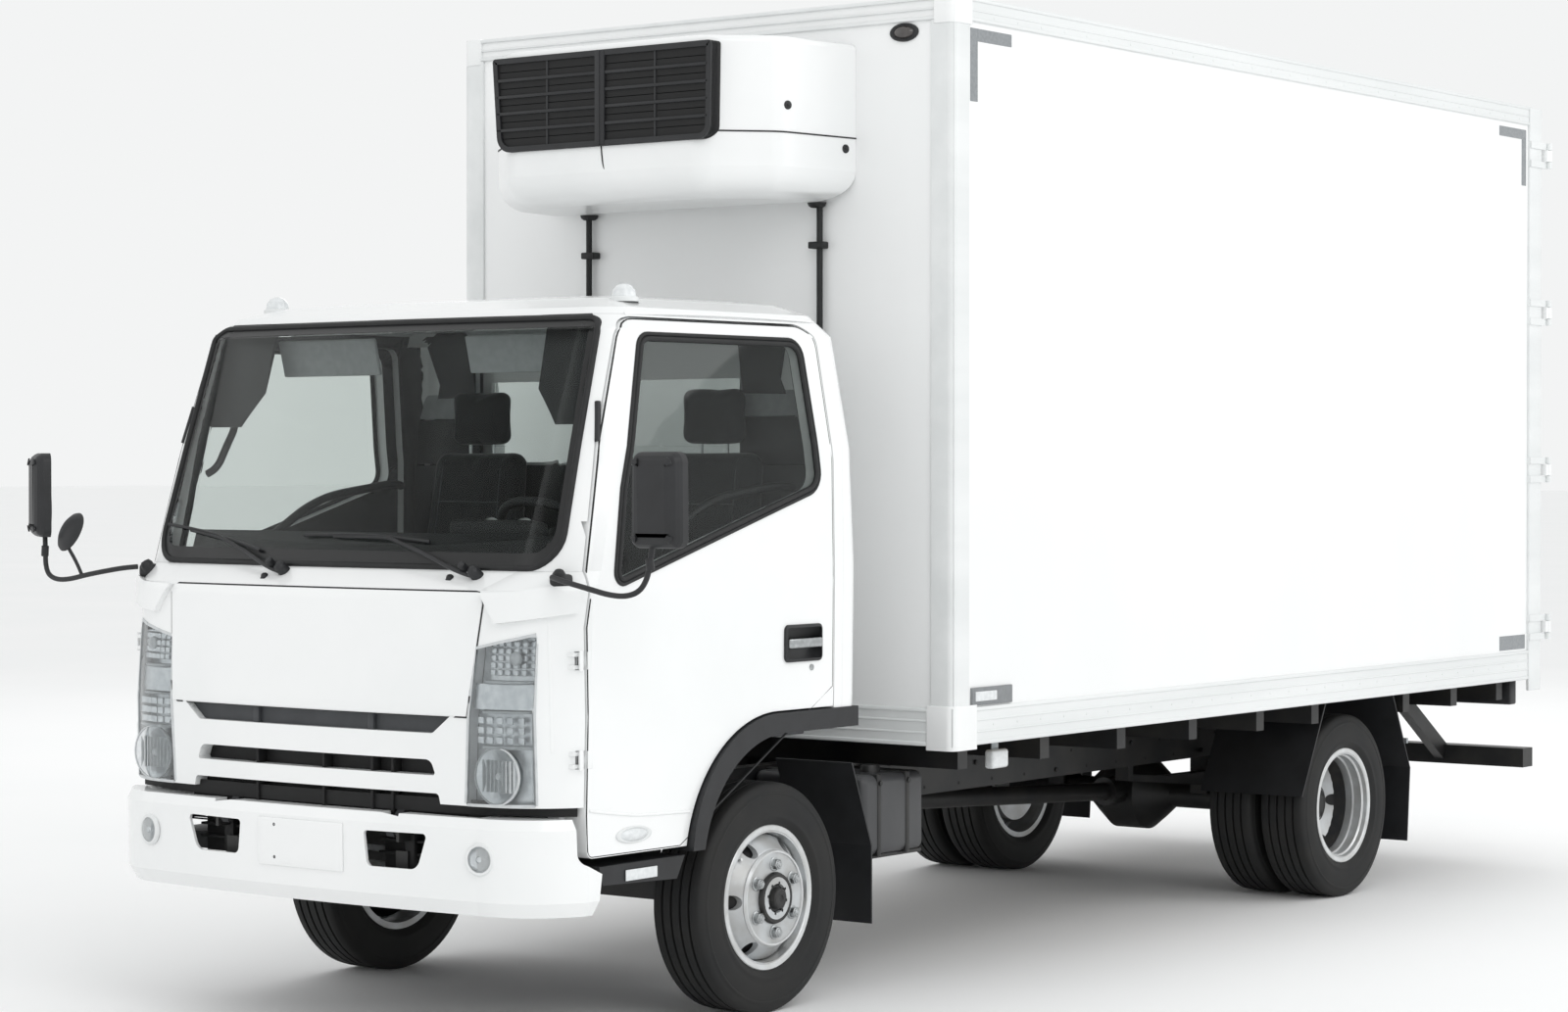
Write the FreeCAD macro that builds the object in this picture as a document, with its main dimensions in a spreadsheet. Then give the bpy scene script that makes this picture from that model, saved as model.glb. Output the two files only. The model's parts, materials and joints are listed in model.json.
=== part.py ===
import FreeCAD, Part
import math
import os
import Sketcher
from types import SimpleNamespace

# A two-axle refrigerated delivery truck: tilting steel cab, ladder chassis, insulated box body with a
# nose-mounted refrigeration unit. Millimetres, +Z up, front towards -Y, +X on the truck's left. The origin
# is on the floor, under the middle of the whole vehicle.

doc = FreeCAD.newDocument("RefrigeratedTruck")
sheet = doc.addObject("Spreadsheet::Sheet", "Sizes")

# name, value, what it is
size_table = [
    ("overall_length", 6816, "bumper face to door hardware"),
    ("front_overhang", 1240, "bumper face to front axle"),
    ("wheelbase", 3845, "front axle to rear axle"),
    ("tyre_radius", 378, "loaded radius, also the height of the wheel centres"),
    ("tyre_width", 211, "section width of one tyre"),
    ("rim_radius", 235, "outer radius of the rim flange"),
    ("rim_width", 176, "width over both rim flanges"),
    ("rim_wall", 11, "steel thickness of a rim"),
    ("front_wheel_x", 817, "middle of a front tyre"),
    ("dual_inner_x", 672, "middle of an inner rear tyre"),
    ("dual_spacing", 240, "middle to middle of two twin tyres"),
    ("disc_offset", 112, "rim middle to the outboard face of the wheel disc"),
    ("disc_wall", 12, "steel thickness of a wheel disc"),
    ("disc_bore", 82, "radius of the hole in a wheel disc"),
    ("hub_radius", 78, "hub nose in the disc's hole"),
    ("drum_radius", 160, "brake drum"),
    ("spindle_radius", 30, "front wheel spindle"),
    ("tube_radius", 55, "rear axle tube"),
    ("running_gap", 0.4, "clearance of a hub on its spindle or tube"),
    ("kingpin_x", 690, "steering axis"),
    ("kingpin_radius", 18, "kingpin"),
    ("boss_radius", 42, "axle fist and knuckle arms round the kingpin"),
    ("rail_outer_x", 400, "outer face of a chassis rail"),
    ("rail_depth", 180, "height of a chassis rail"),
    ("rail_flange", 65, "width of a rail's flanges"),
    ("rail_wall", 7, "steel thickness of a rail"),
    ("rail_bottom", 558, "underside of the chassis rails"),
    ("box_width", 2224, "outside width of the insulated box"),
    ("box_front", 780, "front wall, behind the front axle"),
    ("box_length", 4762, "front wall to door faces"),
    ("box_bottom", 826, "underside of the box's lower rail"),
    ("box_top", 3400, "top of the box"),
    ("wall", 80, "thickness of an insulated wall"),
    ("deck", 3, "load deck, above the foot of the walls"),
    ("rail_height", 131, "height of the box's lower rail and of its floor"),
    ("cap_height", 87, "height of the box's roof rail"),
    ("trim", 6, "thickness of the box's edge extrusions"),
    ("frame_depth", 54, "rear frame, along the box"),
    ("seal_gap", 6, "between the rear frame and the rear doors"),
    ("bar_radius", 12, "locking bar of a rear door"),
    ("box_hinge_side", 20, "rear door hinge, outboard of the box's side"),
    ("box_hinge_out", 34, "rear door hinge, behind the door faces"),
    ("door_gap", 6, "gap round a cab door"),
    ("cab_wall", 50, "thickness of the cab's panels and doors"),
    ("jamb_wall", 30, "thickness of the jamb that a cab door shuts on"),
    ("glass", 6, "thickness of window glass"),
    ("seam", 0.5, "gap between fixed panels"),
    ("door_axis_x", 956, "cab door hinge, from the centre plane"),
    ("door_axis_y", -1012, "cab door hinge, from the front axle"),
    ("door_pin", 3.5, "radius of a cab door's hinge pin"),
    ("unit_front", 240, "front face of the refrigeration unit, from the front axle"),
    ("unit_width", 1400, "refrigeration unit at the wall"),
    ("unit_bottom", 2705, "underside of the refrigeration unit"),
    ("unit_top", 3255, "top of the refrigeration unit"),
    ("hose_radius", 11, "refrigerant hose"),
]


class Size:
    """A length that carries both its number and the sheet expression that gives it."""

    def __init__(self, value, text):
        self.value = float(value)
        self.text = text

    def __add__(self, other):
        other = as_size(other)
        return Size(self.value + other.value, f"({self.text} + {other.text})")

    def __sub__(self, other):
        other = as_size(other)
        return Size(self.value - other.value, f"({self.text} - {other.text})")

    def __rsub__(self, other):
        return as_size(other) - self

    def __mul__(self, factor):
        return Size(self.value * factor, f"{self.text} * {factor}")

    def __truediv__(self, divisor):
        return Size(self.value / divisor, f"{self.text} / {divisor}")

    def __neg__(self):
        return Size(-self.value, f"(0 - {self.text})")

    __radd__ = __add__
    __rmul__ = __mul__


def as_size(number):
    return number if isinstance(number, Size) else Size(number, f"({number})")


for row, (name, value, meaning) in enumerate(size_table, start=1):
    sheet.set(f"A{row}", str(value))
    sheet.setAlias(f"A{row}", name)
    sheet.set(f"B{row}", meaning)
doc.recompute()
size = SimpleNamespace(**{name: Size(value, f"Sizes.{name}") for name, value, _ in size_table})

# Places along and up the truck that several pieces share.
axle = size.front_overhang - size.overall_length / 2
rear_axle = axle + size.wheelbase
box_front = axle + size.box_front
box_rear = box_front + size.box_length
half_box = size.box_width / 2
skin = half_box - size.trim
box_hinge_x = half_box + size.box_hinge_side
inner_x = half_box - size.wall
rail_top = size.rail_bottom + size.rail_depth
floor_top = size.box_bottom + size.rail_height
roof_low = size.box_top - size.wall
roof_high = size.box_top - 3
frame_rear = box_rear - size.wall - size.seal_gap
frame_front = frame_rear - size.frame_depth
vector = FreeCAD.Vector
mirror_plane = vector(0, 0, 0), vector(1, 0, 0)

nodes = {}


def node(label, thing):
    """Name a finished sub-part; its label is also its file's name."""
    thing.Label = label
    nodes[label] = thing
    return thing


# ---- ways of making a piece ----

def block(name, x, y, z):
    """A box from pairs of coordinates, each a number or a size."""
    thing = doc.addObject("Part::Box", name)
    for (low, high), edge, place in zip((x, y, z), ("Length", "Width", "Height"), "xyz"):
        low, high = as_size(low), as_size(high)
        thing.setExpression(edge, (high - low).text)
        thing.setExpression(f"Placement.Base.{place}", low.text)
    return thing


def rod(name, axis, start, radius, length):
    """A cylinder along X, Y or Z from its start point."""
    thing = doc.addObject("Part::Cylinder", name)
    turn = {"X": ((0, 1, 0), 90), "Y": ((1, 0, 0), -90), "Z": ((0, 0, 1), 0)}[axis]
    thing.Placement = FreeCAD.Placement(vector(0, 0, 0), FreeCAD.Rotation(vector(*turn[0]), turn[1]))
    thing.setExpression("Radius", as_size(radius).text)
    thing.setExpression("Height", as_size(length).text)
    for place, value in zip("xyz", start):
        thing.setExpression(f"Placement.Base.{place}", as_size(value).text)
    return thing


def sketch_outline(body, plane, points):
    """A closed sketch of straight edges on one of the body's own planes, every corner bound to the sheet."""
    sketch = body.newObject("Sketcher::SketchObject", f"{body.Name}_outline")
    origin_plane = [f for f in body.Origin.OriginFeatures if f.Role == f"{plane}_Plane"][0]
    sketch.AttachmentSupport = (origin_plane, "")
    sketch.MapMode = "FlatFace"
    corners = [(as_size(u), as_size(v)) for u, v in points]
    spots = [vector(u.value, v.value, 0) for u, v in corners]
    for index, spot in enumerate(spots):
        sketch.addGeometry(Part.LineSegment(spot, spots[(index + 1) % len(spots)]), False)
    for index in range(len(spots)):
        sketch.addConstraint(Sketcher.Constraint("Coincident", index, 2, (index + 1) % len(spots), 1))
    for index, corner in enumerate(corners):
        for way, part in zip(("DistanceX", "DistanceY"), corner):
            number = sketch.addConstraint(Sketcher.Constraint(way, index, 1, part.value))
            sketch.setExpression(f"Constraints[{number}]", part.text)
    return sketch


def prism(name, plane, points, start, length):
    """A padded outline. YZ pads along +X, XY along +Z, XZ along -Y, from the start coordinate."""
    body = doc.addObject("PartDesign::Body", name)
    sketch = sketch_outline(body, plane, points)
    pad = body.newObject("PartDesign::Pad", f"{name}_pad")
    pad.Profile = sketch
    pad.setExpression("Length", as_size(length).text)
    place = {"YZ": "x", "XZ": "y", "XY": "z"}[plane]
    body.setExpression(f"Placement.Base.{place}", as_size(start).text)
    return body


def turned(name, points, centre, side=1):
    """A body turned about an axis along X: points are (x, radius), mirrored for side -1."""
    body = doc.addObject("PartDesign::Body", name)
    sketch = sketch_outline(body, "XZ", [(as_size(x) * side, r) for x, r in points])
    turn = body.newObject("PartDesign::Revolution", f"{name}_turn")
    turn.Profile = sketch
    turn.ReferenceAxis = (sketch, ["H_Axis"])
    turn.Angle = 360
    for place, value in zip("xyz", centre):
        body.setExpression(f"Placement.Base.{place}", as_size(value).text)
    return body


def fuse(name, things):
    thing = doc.addObject("Part::MultiFuse", name)
    thing.Shapes = things
    thing.Refine = True
    return thing


def group(name, things):
    """Solids that share a node without touching."""
    thing = doc.addObject("Part::Compound", name)
    thing.Links = things
    return thing


def cut(name, base, tool):
    thing = doc.addObject("Part::Cut", name)
    thing.Base = base
    thing.Tool = tool
    return thing


def mirrored(name, source):
    """The same piece on the truck's other side."""
    thing = doc.addObject("Part::Mirroring", name)
    thing.Source = source
    thing.Normal = mirror_plane[1]
    thing.Base = mirror_plane[0]
    return thing


def both_sides(name, source):
    return group(name, [source, mirrored(f"{name}_right", source)])


def made(name, shape):
    """A piece whose shape comes from Part's own functions."""
    thing = doc.addObject("Part::Feature", name)
    thing.Shape = shape
    return thing


def made_both(name, shape):
    return made(name, Part.makeCompound([shape, shape.mirror(*mirror_plane)]))


def rounded_face(points):
    """A flat face in the side view from (y, z, corner radius) points, y counted from the front axle."""
    flat = [vector(0, axle.value + y, z) for y, z, _ in points]
    bends = []
    for index, (_, _, radius) in enumerate(points):
        here, before, after = flat[index], flat[index - 1], flat[(index + 1) % len(flat)]
        if not radius:
            bends.append((here, here, here))
            continue
        into, out = (before - here).normalize(), (after - here).normalize()
        half_turn = into.getAngle(out) / 2
        reach = radius / math.tan(half_turn)
        middle = (into + out).normalize() * (radius / math.sin(half_turn) - radius)
        bends.append((here + into * reach, here + middle, here + out * reach))
    edges = []
    for index, (first, middle, last) in enumerate(bends):
        following = bends[(index + 1) % len(bends)][0]
        if not first.isEqual(last, 0.001):
            edges.append(Part.Arc(first, middle, last).toShape())
        if not last.isEqual(following, 0.001):
            edges.append(Part.LineSegment(last, following).toShape())
    return Part.Face(Part.Wire(edges))


def front_face(points):
    """A flat face in the front view from (x, z, corner radius) points."""
    face = rounded_face([(x - axle.value, z, radius) for x, z, radius in points])
    face.rotate(vector(0, 0, 0), vector(0, 0, 1), -90)
    return face


def across(face, x):
    """A side-view face carried over a range of X."""
    face = face.copy()
    face.translate(vector(x[0], 0, 0))
    return face.extrude(vector(x[1] - x[0], 0, 0))


def along(face, y):
    """A front-view face carried over a range of Y, counted from the front axle."""
    face = face.copy()
    face.translate(vector(0, axle.value + y[0], 0))
    return face.extrude(vector(0, y[1] - y[0], 0))


def slab(x, y, z):
    """A plain box shape; y counts from the front axle."""
    return Part.makeBox(x[1] - x[0], y[1] - y[0], z[1] - z[0], vector(x[0], axle.value + y[0], z[0]))


def upright(radius, x, y, z):
    """An upright cylinder shape over a range of Z; y counts from the front axle."""
    return Part.makeCylinder(radius, z[1] - z[0], vector(x, axle.value + y, z[0]))


def pipe(points, radius, bend):
    """A round tube through the points, its corners rounded to the bend radius."""
    spots = [vector(*point) for point in points]
    edges = []
    here = spots[0]
    for before, corner, after in zip(spots, spots[1:], spots[2:]):
        into, out = (before - corner).normalize(), (after - corner).normalize()
        half_turn = into.getAngle(out) / 2
        reach = bend / math.tan(half_turn)
        middle = (into + out).normalize() * (bend / math.sin(half_turn) - bend)
        edges.append(Part.LineSegment(here, corner + into * reach).toShape())
        edges.append(Part.Arc(corner + into * reach, corner + middle, corner + out * reach).toShape())
        here = corner + out * reach
    edges.append(Part.LineSegment(here, spots[-1]).toShape())
    ring = Part.Circle(spots[0], spots[1] - spots[0], radius).toShape()
    return Part.Wire(edges).makePipeShell([Part.Wire(ring)], True, False)


# ---- insulated box ----

def build_box():
    """Floor, walls and roof as panels of one thickness, with extrusions along the outer edges."""
    slab_ = block("floor_slab", (-skin, skin), (box_front, frame_rear), (size.box_bottom, floor_top))
    deck = block("floor_deck", (1 - inner_x, inner_x - 1), (box_front + size.wall + 1, frame_rear),
                 (floor_top - 1, floor_top + size.deck))
    node("box_floor", fuse("insulated_floor", [slab_, deck]))
    left_wall = block("wall_slab", (inner_x, skin), (box_front, frame_front), (floor_top, roof_low))
    node("box_side_walls", both_sides("walls", left_wall))
    node("box_front_wall", block("front_slab", (-inner_x, inner_x), (box_front, box_front + size.wall),
                                 (floor_top, roof_low)))
    node("box_roof", block("roof_slab", (-skin, skin), (box_front, frame_front), (roof_low, roof_high)))
    frame_outer = block("frame_outer", (-skin, skin), (frame_front, frame_rear), (floor_top, roof_high))
    frame_inner = block("frame_inner", (-inner_x, inner_x), (frame_front - 10, frame_rear + 10),
                        (floor_top - 10, roof_low))
    rear_frame = fuse("rear_frame", [cut("frame_ring", frame_outer, frame_inner)] + frame_hinges())
    node("box_rear_frame", rear_frame)
    lower = block("lower_rail", (skin, half_box), (box_front, frame_front), (size.box_bottom, floor_top))
    upper = block("upper_rail", (skin, half_box), (box_front, frame_front),
                  (size.box_top - size.cap_height, roof_high))
    post = block("corner_post", (skin, half_box), (box_front, box_front + 30),
                 (floor_top, size.box_top - size.cap_height))
    front = block("front_lower_rail", (-half_box, half_box), (box_front - size.trim, box_front),
                  (size.box_bottom, floor_top))
    sides = both_sides("edges", fuse("edge_rails", [lower, upper, post]))
    node("box_edge_rails", group("all_edges", [sides, front]))


hinge_shares = (0.08, 0.36, 0.64, 0.92)
eye_half, lug_height, lug_gap = 25, 30, 2
knuckle_radius, hinge_pin_radius = 13, 7


def hinge_heights():
    low, high = size.box_bottom + 30, size.box_top - 12
    return [low + (high - low) * share for share in hinge_shares]


def frame_hinges():
    """Lugs on the rear frame that carry the rear doors' hinge pins, both sides."""
    pin_y = box_rear + size.box_hinge_out
    sides = []
    for number, z in enumerate(hinge_heights()):
        parts = [rod(f"hinge_pin_{number}", "Z", (box_hinge_x, pin_y, z - eye_half - lug_height),
                     hinge_pin_radius, (eye_half + lug_height) * 2)]
        for place, low in (("low", z - eye_half - lug_gap - lug_height), ("high", z + eye_half + lug_gap)):
            parts.append(rod(f"hinge_lug_{place}_{number}", "Z", (box_hinge_x, pin_y, low),
                             knuckle_radius, lug_height))
            parts.append(block(f"hinge_web_{place}_{number}", (skin, box_hinge_x - 8),
                               (frame_front, pin_y), (low, low + lug_height)))
        lug = fuse(f"frame_hinge_{number}", parts)
        sides += [lug, mirrored(f"frame_hinge_{number}_right", lug)]
    return sides


def build_rear_doors():
    """Two full-height doors on hinges that stand clear of the box, with their locking bars."""
    low, high = size.box_bottom + 30, size.box_top - 12
    pin_y = box_rear + size.box_hinge_out
    parts = [block("door_panel", (4, skin - 6), (box_rear - size.wall, box_rear), (low, high))]
    for number, bar_x in enumerate((170, 800)):
        parts.append(rod(f"lock_bar_{number}", "Z", (bar_x, box_rear + size.bar_radius - 2, low + 10),
                         size.bar_radius, high - low - 20))
    for number, z in enumerate(hinge_heights()):
        span = (z - eye_half, z + eye_half)
        strap = block(f"hinge_strap_{number}", (skin - 160, box_hinge_x), (box_rear, box_rear + 12),
                      span)
        link = block(f"hinge_link_{number}", (box_hinge_x - 12, box_hinge_x + 4),
                     (box_rear, pin_y), span)
        eye = rod(f"hinge_eye_{number}", "Z", (box_hinge_x, pin_y, z - eye_half), knuckle_radius,
                  eye_half * 2)
        hole = rod(f"hinge_hole_{number}", "Z", (box_hinge_x, pin_y, z - eye_half - 1),
                   hinge_pin_radius + 0.1, eye_half * 2 + 2)
        parts.append(cut(f"door_hinge_{number}", fuse(f"hinge_leaf_{number}", [strap, link, eye]), hole))
    leaf = fuse("left_leaf", parts)
    node("left_rear_door", leaf)
    node("right_rear_door", mirrored("right_leaf", leaf))


# ---- chassis ----

# The cab tilts about an axis behind the bumper: place from the front axle, and height.
tilt_place, tilt_height = -1200, 660
# Inner face of the cab's sills, where the floor meets them.
sill_inner = 889

# Crossmembers of the ladder frame, from the front axle.
crossmember_places = (-1040, -560, 640, 1640, 2640, 3280, 4420, 5200)
# Bearers under the box: distance behind its front wall, reach from the centre plane.
bearer_places = ((160, 1040), (690, 1040), (1220, 1040), (1750, 1040), (2280, 1040), (2740, 1040),
                 (3065, 440), (3560, 1040), (4020, 1040), (4480, 1040))


def build_frame():
    front = axle - 1100
    rear = box_rear - 120
    outer, lip, wall_ = size.rail_outer_x, size.rail_outer_x - size.rail_flange, size.rail_wall
    low, high = size.rail_bottom, rail_top
    channel = [(outer, low), (outer, high), (lip, high), (lip, high - wall_), (outer - wall_, high - wall_),
               (outer - wall_, low + wall_), (lip, low + wall_), (lip, low)]
    left = prism("rail", "XZ", channel, rear, rear - front)
    parts = [left, mirrored("rail_right", left)]
    reach = outer - size.rail_wall
    for number, place in enumerate(crossmember_places):
        parts.append(block(f"crossmember_{number}", (-reach, reach), (axle + place - 35, axle + place + 35),
                           (low + 40, low + 130)))
    for side in (1, -1):
        low_x, high_x = sorted((side * 388, side * outer.value))
        parts.append(block(f"tilt_plate_{side + 1}", (low_x, high_x),
                           (axle + tilt_place - 14, front + 10), (low + 75, low + 140)))
        low_x, high_x = sorted((side * 340, side * 392))
        parts.append(rod(f"tilt_pin_{side + 1}", "X", (low_x, axle + tilt_place, tilt_height), 9,
                         high_x - low_x))
        low_x, high_x = sorted((side * 345, side * 395))
        parts.append(block(f"bumper_drop_{side + 1}", (low_x, high_x), (axle - 1170, front), (500, 600)))
        parts.append(block(f"bumper_arm_{side + 1}", (low_x, high_x), (axle - 1214.3, axle - 1160),
                           (500, 545)))
        parts.append(block(f"cab_pad_{side + 1}", (low_x, high_x), (axle - 960, axle - 880),
                           (rail_top, 790)))
        parts.append(block(f"cab_post_{side + 1}", (low_x, high_x), (axle + 335, axle + 395),
                           (rail_top, 920.7)))
    node("chassis_frame", fuse("ladder_frame", parts))
    bearers = [block(f"bearer_{number}", (-reach_x, reach_x),
                     (box_front + place - 30, box_front + place + 30), (rail_top, size.box_bottom))
               for number, (place, reach_x) in enumerate(bearer_places)]
    node("box_crossbearers", group("bearers", bearers))


def spring_profile(middle, seat, half_length):
    """One leaf spring with its shackles, from its seat on the axle up to the chassis rail."""
    top = size.rail_bottom
    return [(middle - half_length, top), (middle - half_length, top - 60), (middle - half_length * 0.55,
            seat + 32), (middle - 60, seat), (middle + 60, seat), (middle + half_length * 0.55, seat + 32),
            (middle + half_length, top - 60), (middle + half_length, top), (middle + half_length - 40, top),
            (middle + half_length - 40, top - 38), (middle + half_length * 0.55, seat + 62),
            (middle + 60, seat + 58), (middle - 60, seat + 58), (middle - half_length * 0.55, seat + 62),
            (middle - half_length + 40, top - 38), (middle - half_length + 40, top)]


def build_axles():
    """Front beam with its fists, rear axle with its differential, springs and drive shaft."""
    fist_low, fist_high = size.tyre_radius - 38, size.tyre_radius + 38
    beam = block("front_beam", (-size.kingpin_x, size.kingpin_x), (axle - 32, axle + 32),
                 (fist_low, size.tyre_radius + 22))
    shapes = [beam]
    bores = []
    for side in (1, -1):
        x = size.kingpin_x * side
        shapes.append(rod(f"fist_{side + 1}", "Z", (x, axle, fist_low), size.boss_radius,
                          fist_high - fist_low))
        bores.append(rod(f"fist_bore_{side + 1}", "Z", (x, axle, fist_low - 5),
                         size.kingpin_radius + 0.1, fist_high - fist_low + 10))
    node("front_axle", cut("front_axle_beam", fuse("beam_and_fists", shapes), fuse("fist_bores", bores)))
    reach = size.dual_inner_x + 150
    bulge = [(200, size.tube_radius), (140, 105), (75, 155)]
    profile = [(-reach, 0), (-reach, size.tube_radius)] + [(-x, r) for x, r in bulge]
    profile += bulge[::-1] + [(reach, size.tube_radius), (reach, 0)]
    housing = turned("rear_housing", profile, (0, rear_axle, size.tyre_radius))
    nose = rod("pinion_nose", "Y", (0, rear_axle - 260, size.tyre_radius + 20), 60, 200)
    node("rear_axle", fuse("rear_axle_housing", [housing, nose]))
    springs = []
    front_seat = size.tyre_radius + 22
    rear_seat = size.tyre_radius + size.tube_radius
    for number, (middle, seat, half_length) in enumerate(((axle, front_seat, 700),
                                                          (rear_axle, rear_seat, 720))):
        springs.append(prism(f"spring_{number}", "YZ", spring_profile(middle, seat, half_length),
                             size.rail_outer_x - size.rail_flange, size.rail_flange - 5))
    node("leaf_springs", both_sides("springs", group("spring_pair", springs)))
    start = vector(0, axle.value + 592.6, 560)
    finish = vector(0, rear_axle.value - 262.6, size.tyre_radius.value + 20)
    shaft = Part.makeCylinder(38, (finish - start).Length, start, finish - start)
    node("drive_shaft", made("shaft", shaft))


def build_knuckles():
    """Yoke round the axle's fist, kingpin and spindle in one piece."""
    centre = size.tyre_radius
    arm, clear = 34, 1
    reach = 38 + clear
    low = rod("lower_arm", "Z", (size.kingpin_x, axle, centre - reach - arm), size.boss_radius, arm)
    high = rod("upper_arm", "Z", (size.kingpin_x, axle, centre + reach), size.boss_radius, arm)
    pin = rod("kingpin", "Z", (size.kingpin_x, axle, centre - reach - arm / 2), size.kingpin_radius,
              reach * 2 + arm)
    web = block("knuckle_web", (size.kingpin_x + size.boss_radius + 3, size.kingpin_x + 75),
                (axle - 40, axle + 40), (centre - reach - arm, centre + reach + arm))
    ties = [block(f"knuckle_tie_{place}", (size.kingpin_x, size.kingpin_x + 60), (axle - 30, axle + 30),
                  (z, z + arm)) for place, z in (("low", centre - reach - arm), ("high", centre + reach))]
    spindle = rod("spindle", "X", (size.kingpin_x + 60, axle, centre), size.spindle_radius, 150)
    left = fuse("knuckle", [low, high, pin, web, spindle] + ties)
    node("left_knuckle", left)
    node("right_knuckle", mirrored("knuckle_right", left))


def wheel_profiles():
    """Half sections of tyre, rim and disc as (x, radius), outboard towards +x."""
    radius, half = size.tyre_radius, size.tyre_width / 2
    rim, flange, wall_ = size.rim_radius, size.rim_width / 2, size.rim_wall
    seat = rim - 14.5
    bead = flange - 14
    side = [(bead, seat), (bead, rim + 6), (half, rim + 48), (half - 1, radius - 62), (half - 7, radius - 28),
            (half - 22, radius - 4), (half - 34, radius)]
    tyre = [(-x, r) for x, r in side] + side[::-1]
    well = rim - 15
    rim_section = [(-flange, rim - 22), (-flange, rim), (-flange + 13, rim), (-flange + 13, well),
                   (flange - 13, well), (flange - 13, rim), (flange, rim), (flange, rim - 22),
                   (flange - 24, well - wall_), (-flange + 24, well - wall_)]
    face = size.disc_offset
    disc = [(face - size.disc_wall, size.disc_bore), (face, size.disc_bore), (face, 148), (face - 10, 162),
            (face - 52, 204), (face - 82, well - wall_ + 2), (face - 82, well - wall_ - 12),
            (face - 66, 196), (face - 22, 152), (face - size.disc_wall, 140)]
    return tyre, rim_section, disc


hand_hole_circle, hand_hole_radius = 184, 24


def disc_holes(name, spot):
    """Six round hand holes through a wheel disc."""
    holes = []
    for turn in range(6):
        angle = math.radians(60 * turn + 30)
        y, z = hand_hole_circle * math.sin(angle), hand_hole_circle * math.cos(angle)
        holes.append(rod(f"{name}_{turn}", "X", (spot[0] - 130, spot[1] + y, spot[2] + z),
                         hand_hole_radius, 260))
    return fuse(f"{name}_all", holes)


def build_wheels():
    """Four wheel sets. Twin rear wheels share one hub."""
    tyre, rim_section, disc = wheel_profiles()
    face, well = size.disc_offset, size.rim_radius - 15
    spindle_hole = size.spindle_radius + size.running_gap
    tube_hole = size.tube_radius + size.running_gap
    for side_name, side in (("left", 1), ("right", -1)):
        spot = (size.front_wheel_x * side, axle, size.tyre_radius)
        start = size.kingpin_x + 80 - size.front_wheel_x
        hub = [(start, spindle_hole), (start, size.drum_radius), (start + 70, size.drum_radius),
               (start + 76, 110), (face - size.disc_wall, 110), (face - size.disc_wall, size.hub_radius),
               (face + 14, size.hub_radius), (face + 14, 48), (face + 4, 44), (face + 4, 0),
               (start + 140, 0), (start + 140, spindle_hole)]
        node(f"front_{side_name}_tyre", turned(f"front_tyre_{side_name}", tyre, spot))
        plate = cut(f"front_plate_{side_name}", turned(f"front_disc_{side_name}", disc, spot, side),
                    disc_holes(f"front_hole_{side_name}", spot))
        parts = [turned(f"front_rim_{side_name}", rim_section, spot), plate,
                 turned(f"front_hub_{side_name}", hub, spot, side)]
        node(f"front_{side_name}_wheel", fuse(f"front_wheel_{side_name}", parts))
        inner = (size.dual_inner_x * side, rear_axle, size.tyre_radius)
        outer = ((size.dual_inner_x + size.dual_spacing) * side, rear_axle, size.tyre_radius)
        tyres = [turned(f"rear_tyre_{side_name}_{n}", tyre, place) for n, place in enumerate((inner, outer))]
        node(f"rear_{side_name}_tyres", group(f"twin_tyres_{side_name}", tyres))
        mate = size.dual_spacing - face * 2
        hub = [(-60, tube_hole), (-60, size.drum_radius), (20, size.drum_radius), (26, 110),
               (face - size.disc_wall, 110), (face - size.disc_wall, size.hub_radius),
               (face + mate + 70, size.hub_radius), (face + mate + 84, 62), (face + mate + 84, 0),
               (150.5, 0), (150.5, tube_hole)]
        spacer = [(face - 1, size.hub_radius - 2), (face - 1, 138), (face + mate + 1, 138),
                  (face + mate + 1, size.hub_radius - 2)]
        parts = [turned(f"rear_rim_{side_name}_{n}", rim_section, place)
                 for n, place in enumerate((inner, outer))]
        for n, (place, way) in enumerate(((inner, side), (outer, -side))):
            parts.append(cut(f"rear_plate_{side_name}_{n}",
                             turned(f"rear_disc_{side_name}_{n}", disc, place, way),
                             disc_holes(f"rear_hole_{side_name}_{n}", place)))
        parts.append(turned(f"rear_hub_{side_name}", hub, inner, side))
        parts.append(turned(f"rear_spacer_{side_name}", spacer, inner, side))
        node(f"rear_{side_name}_wheels", fuse(f"twin_wheels_{side_name}", parts))


# ---- what hangs on the chassis ----

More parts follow.
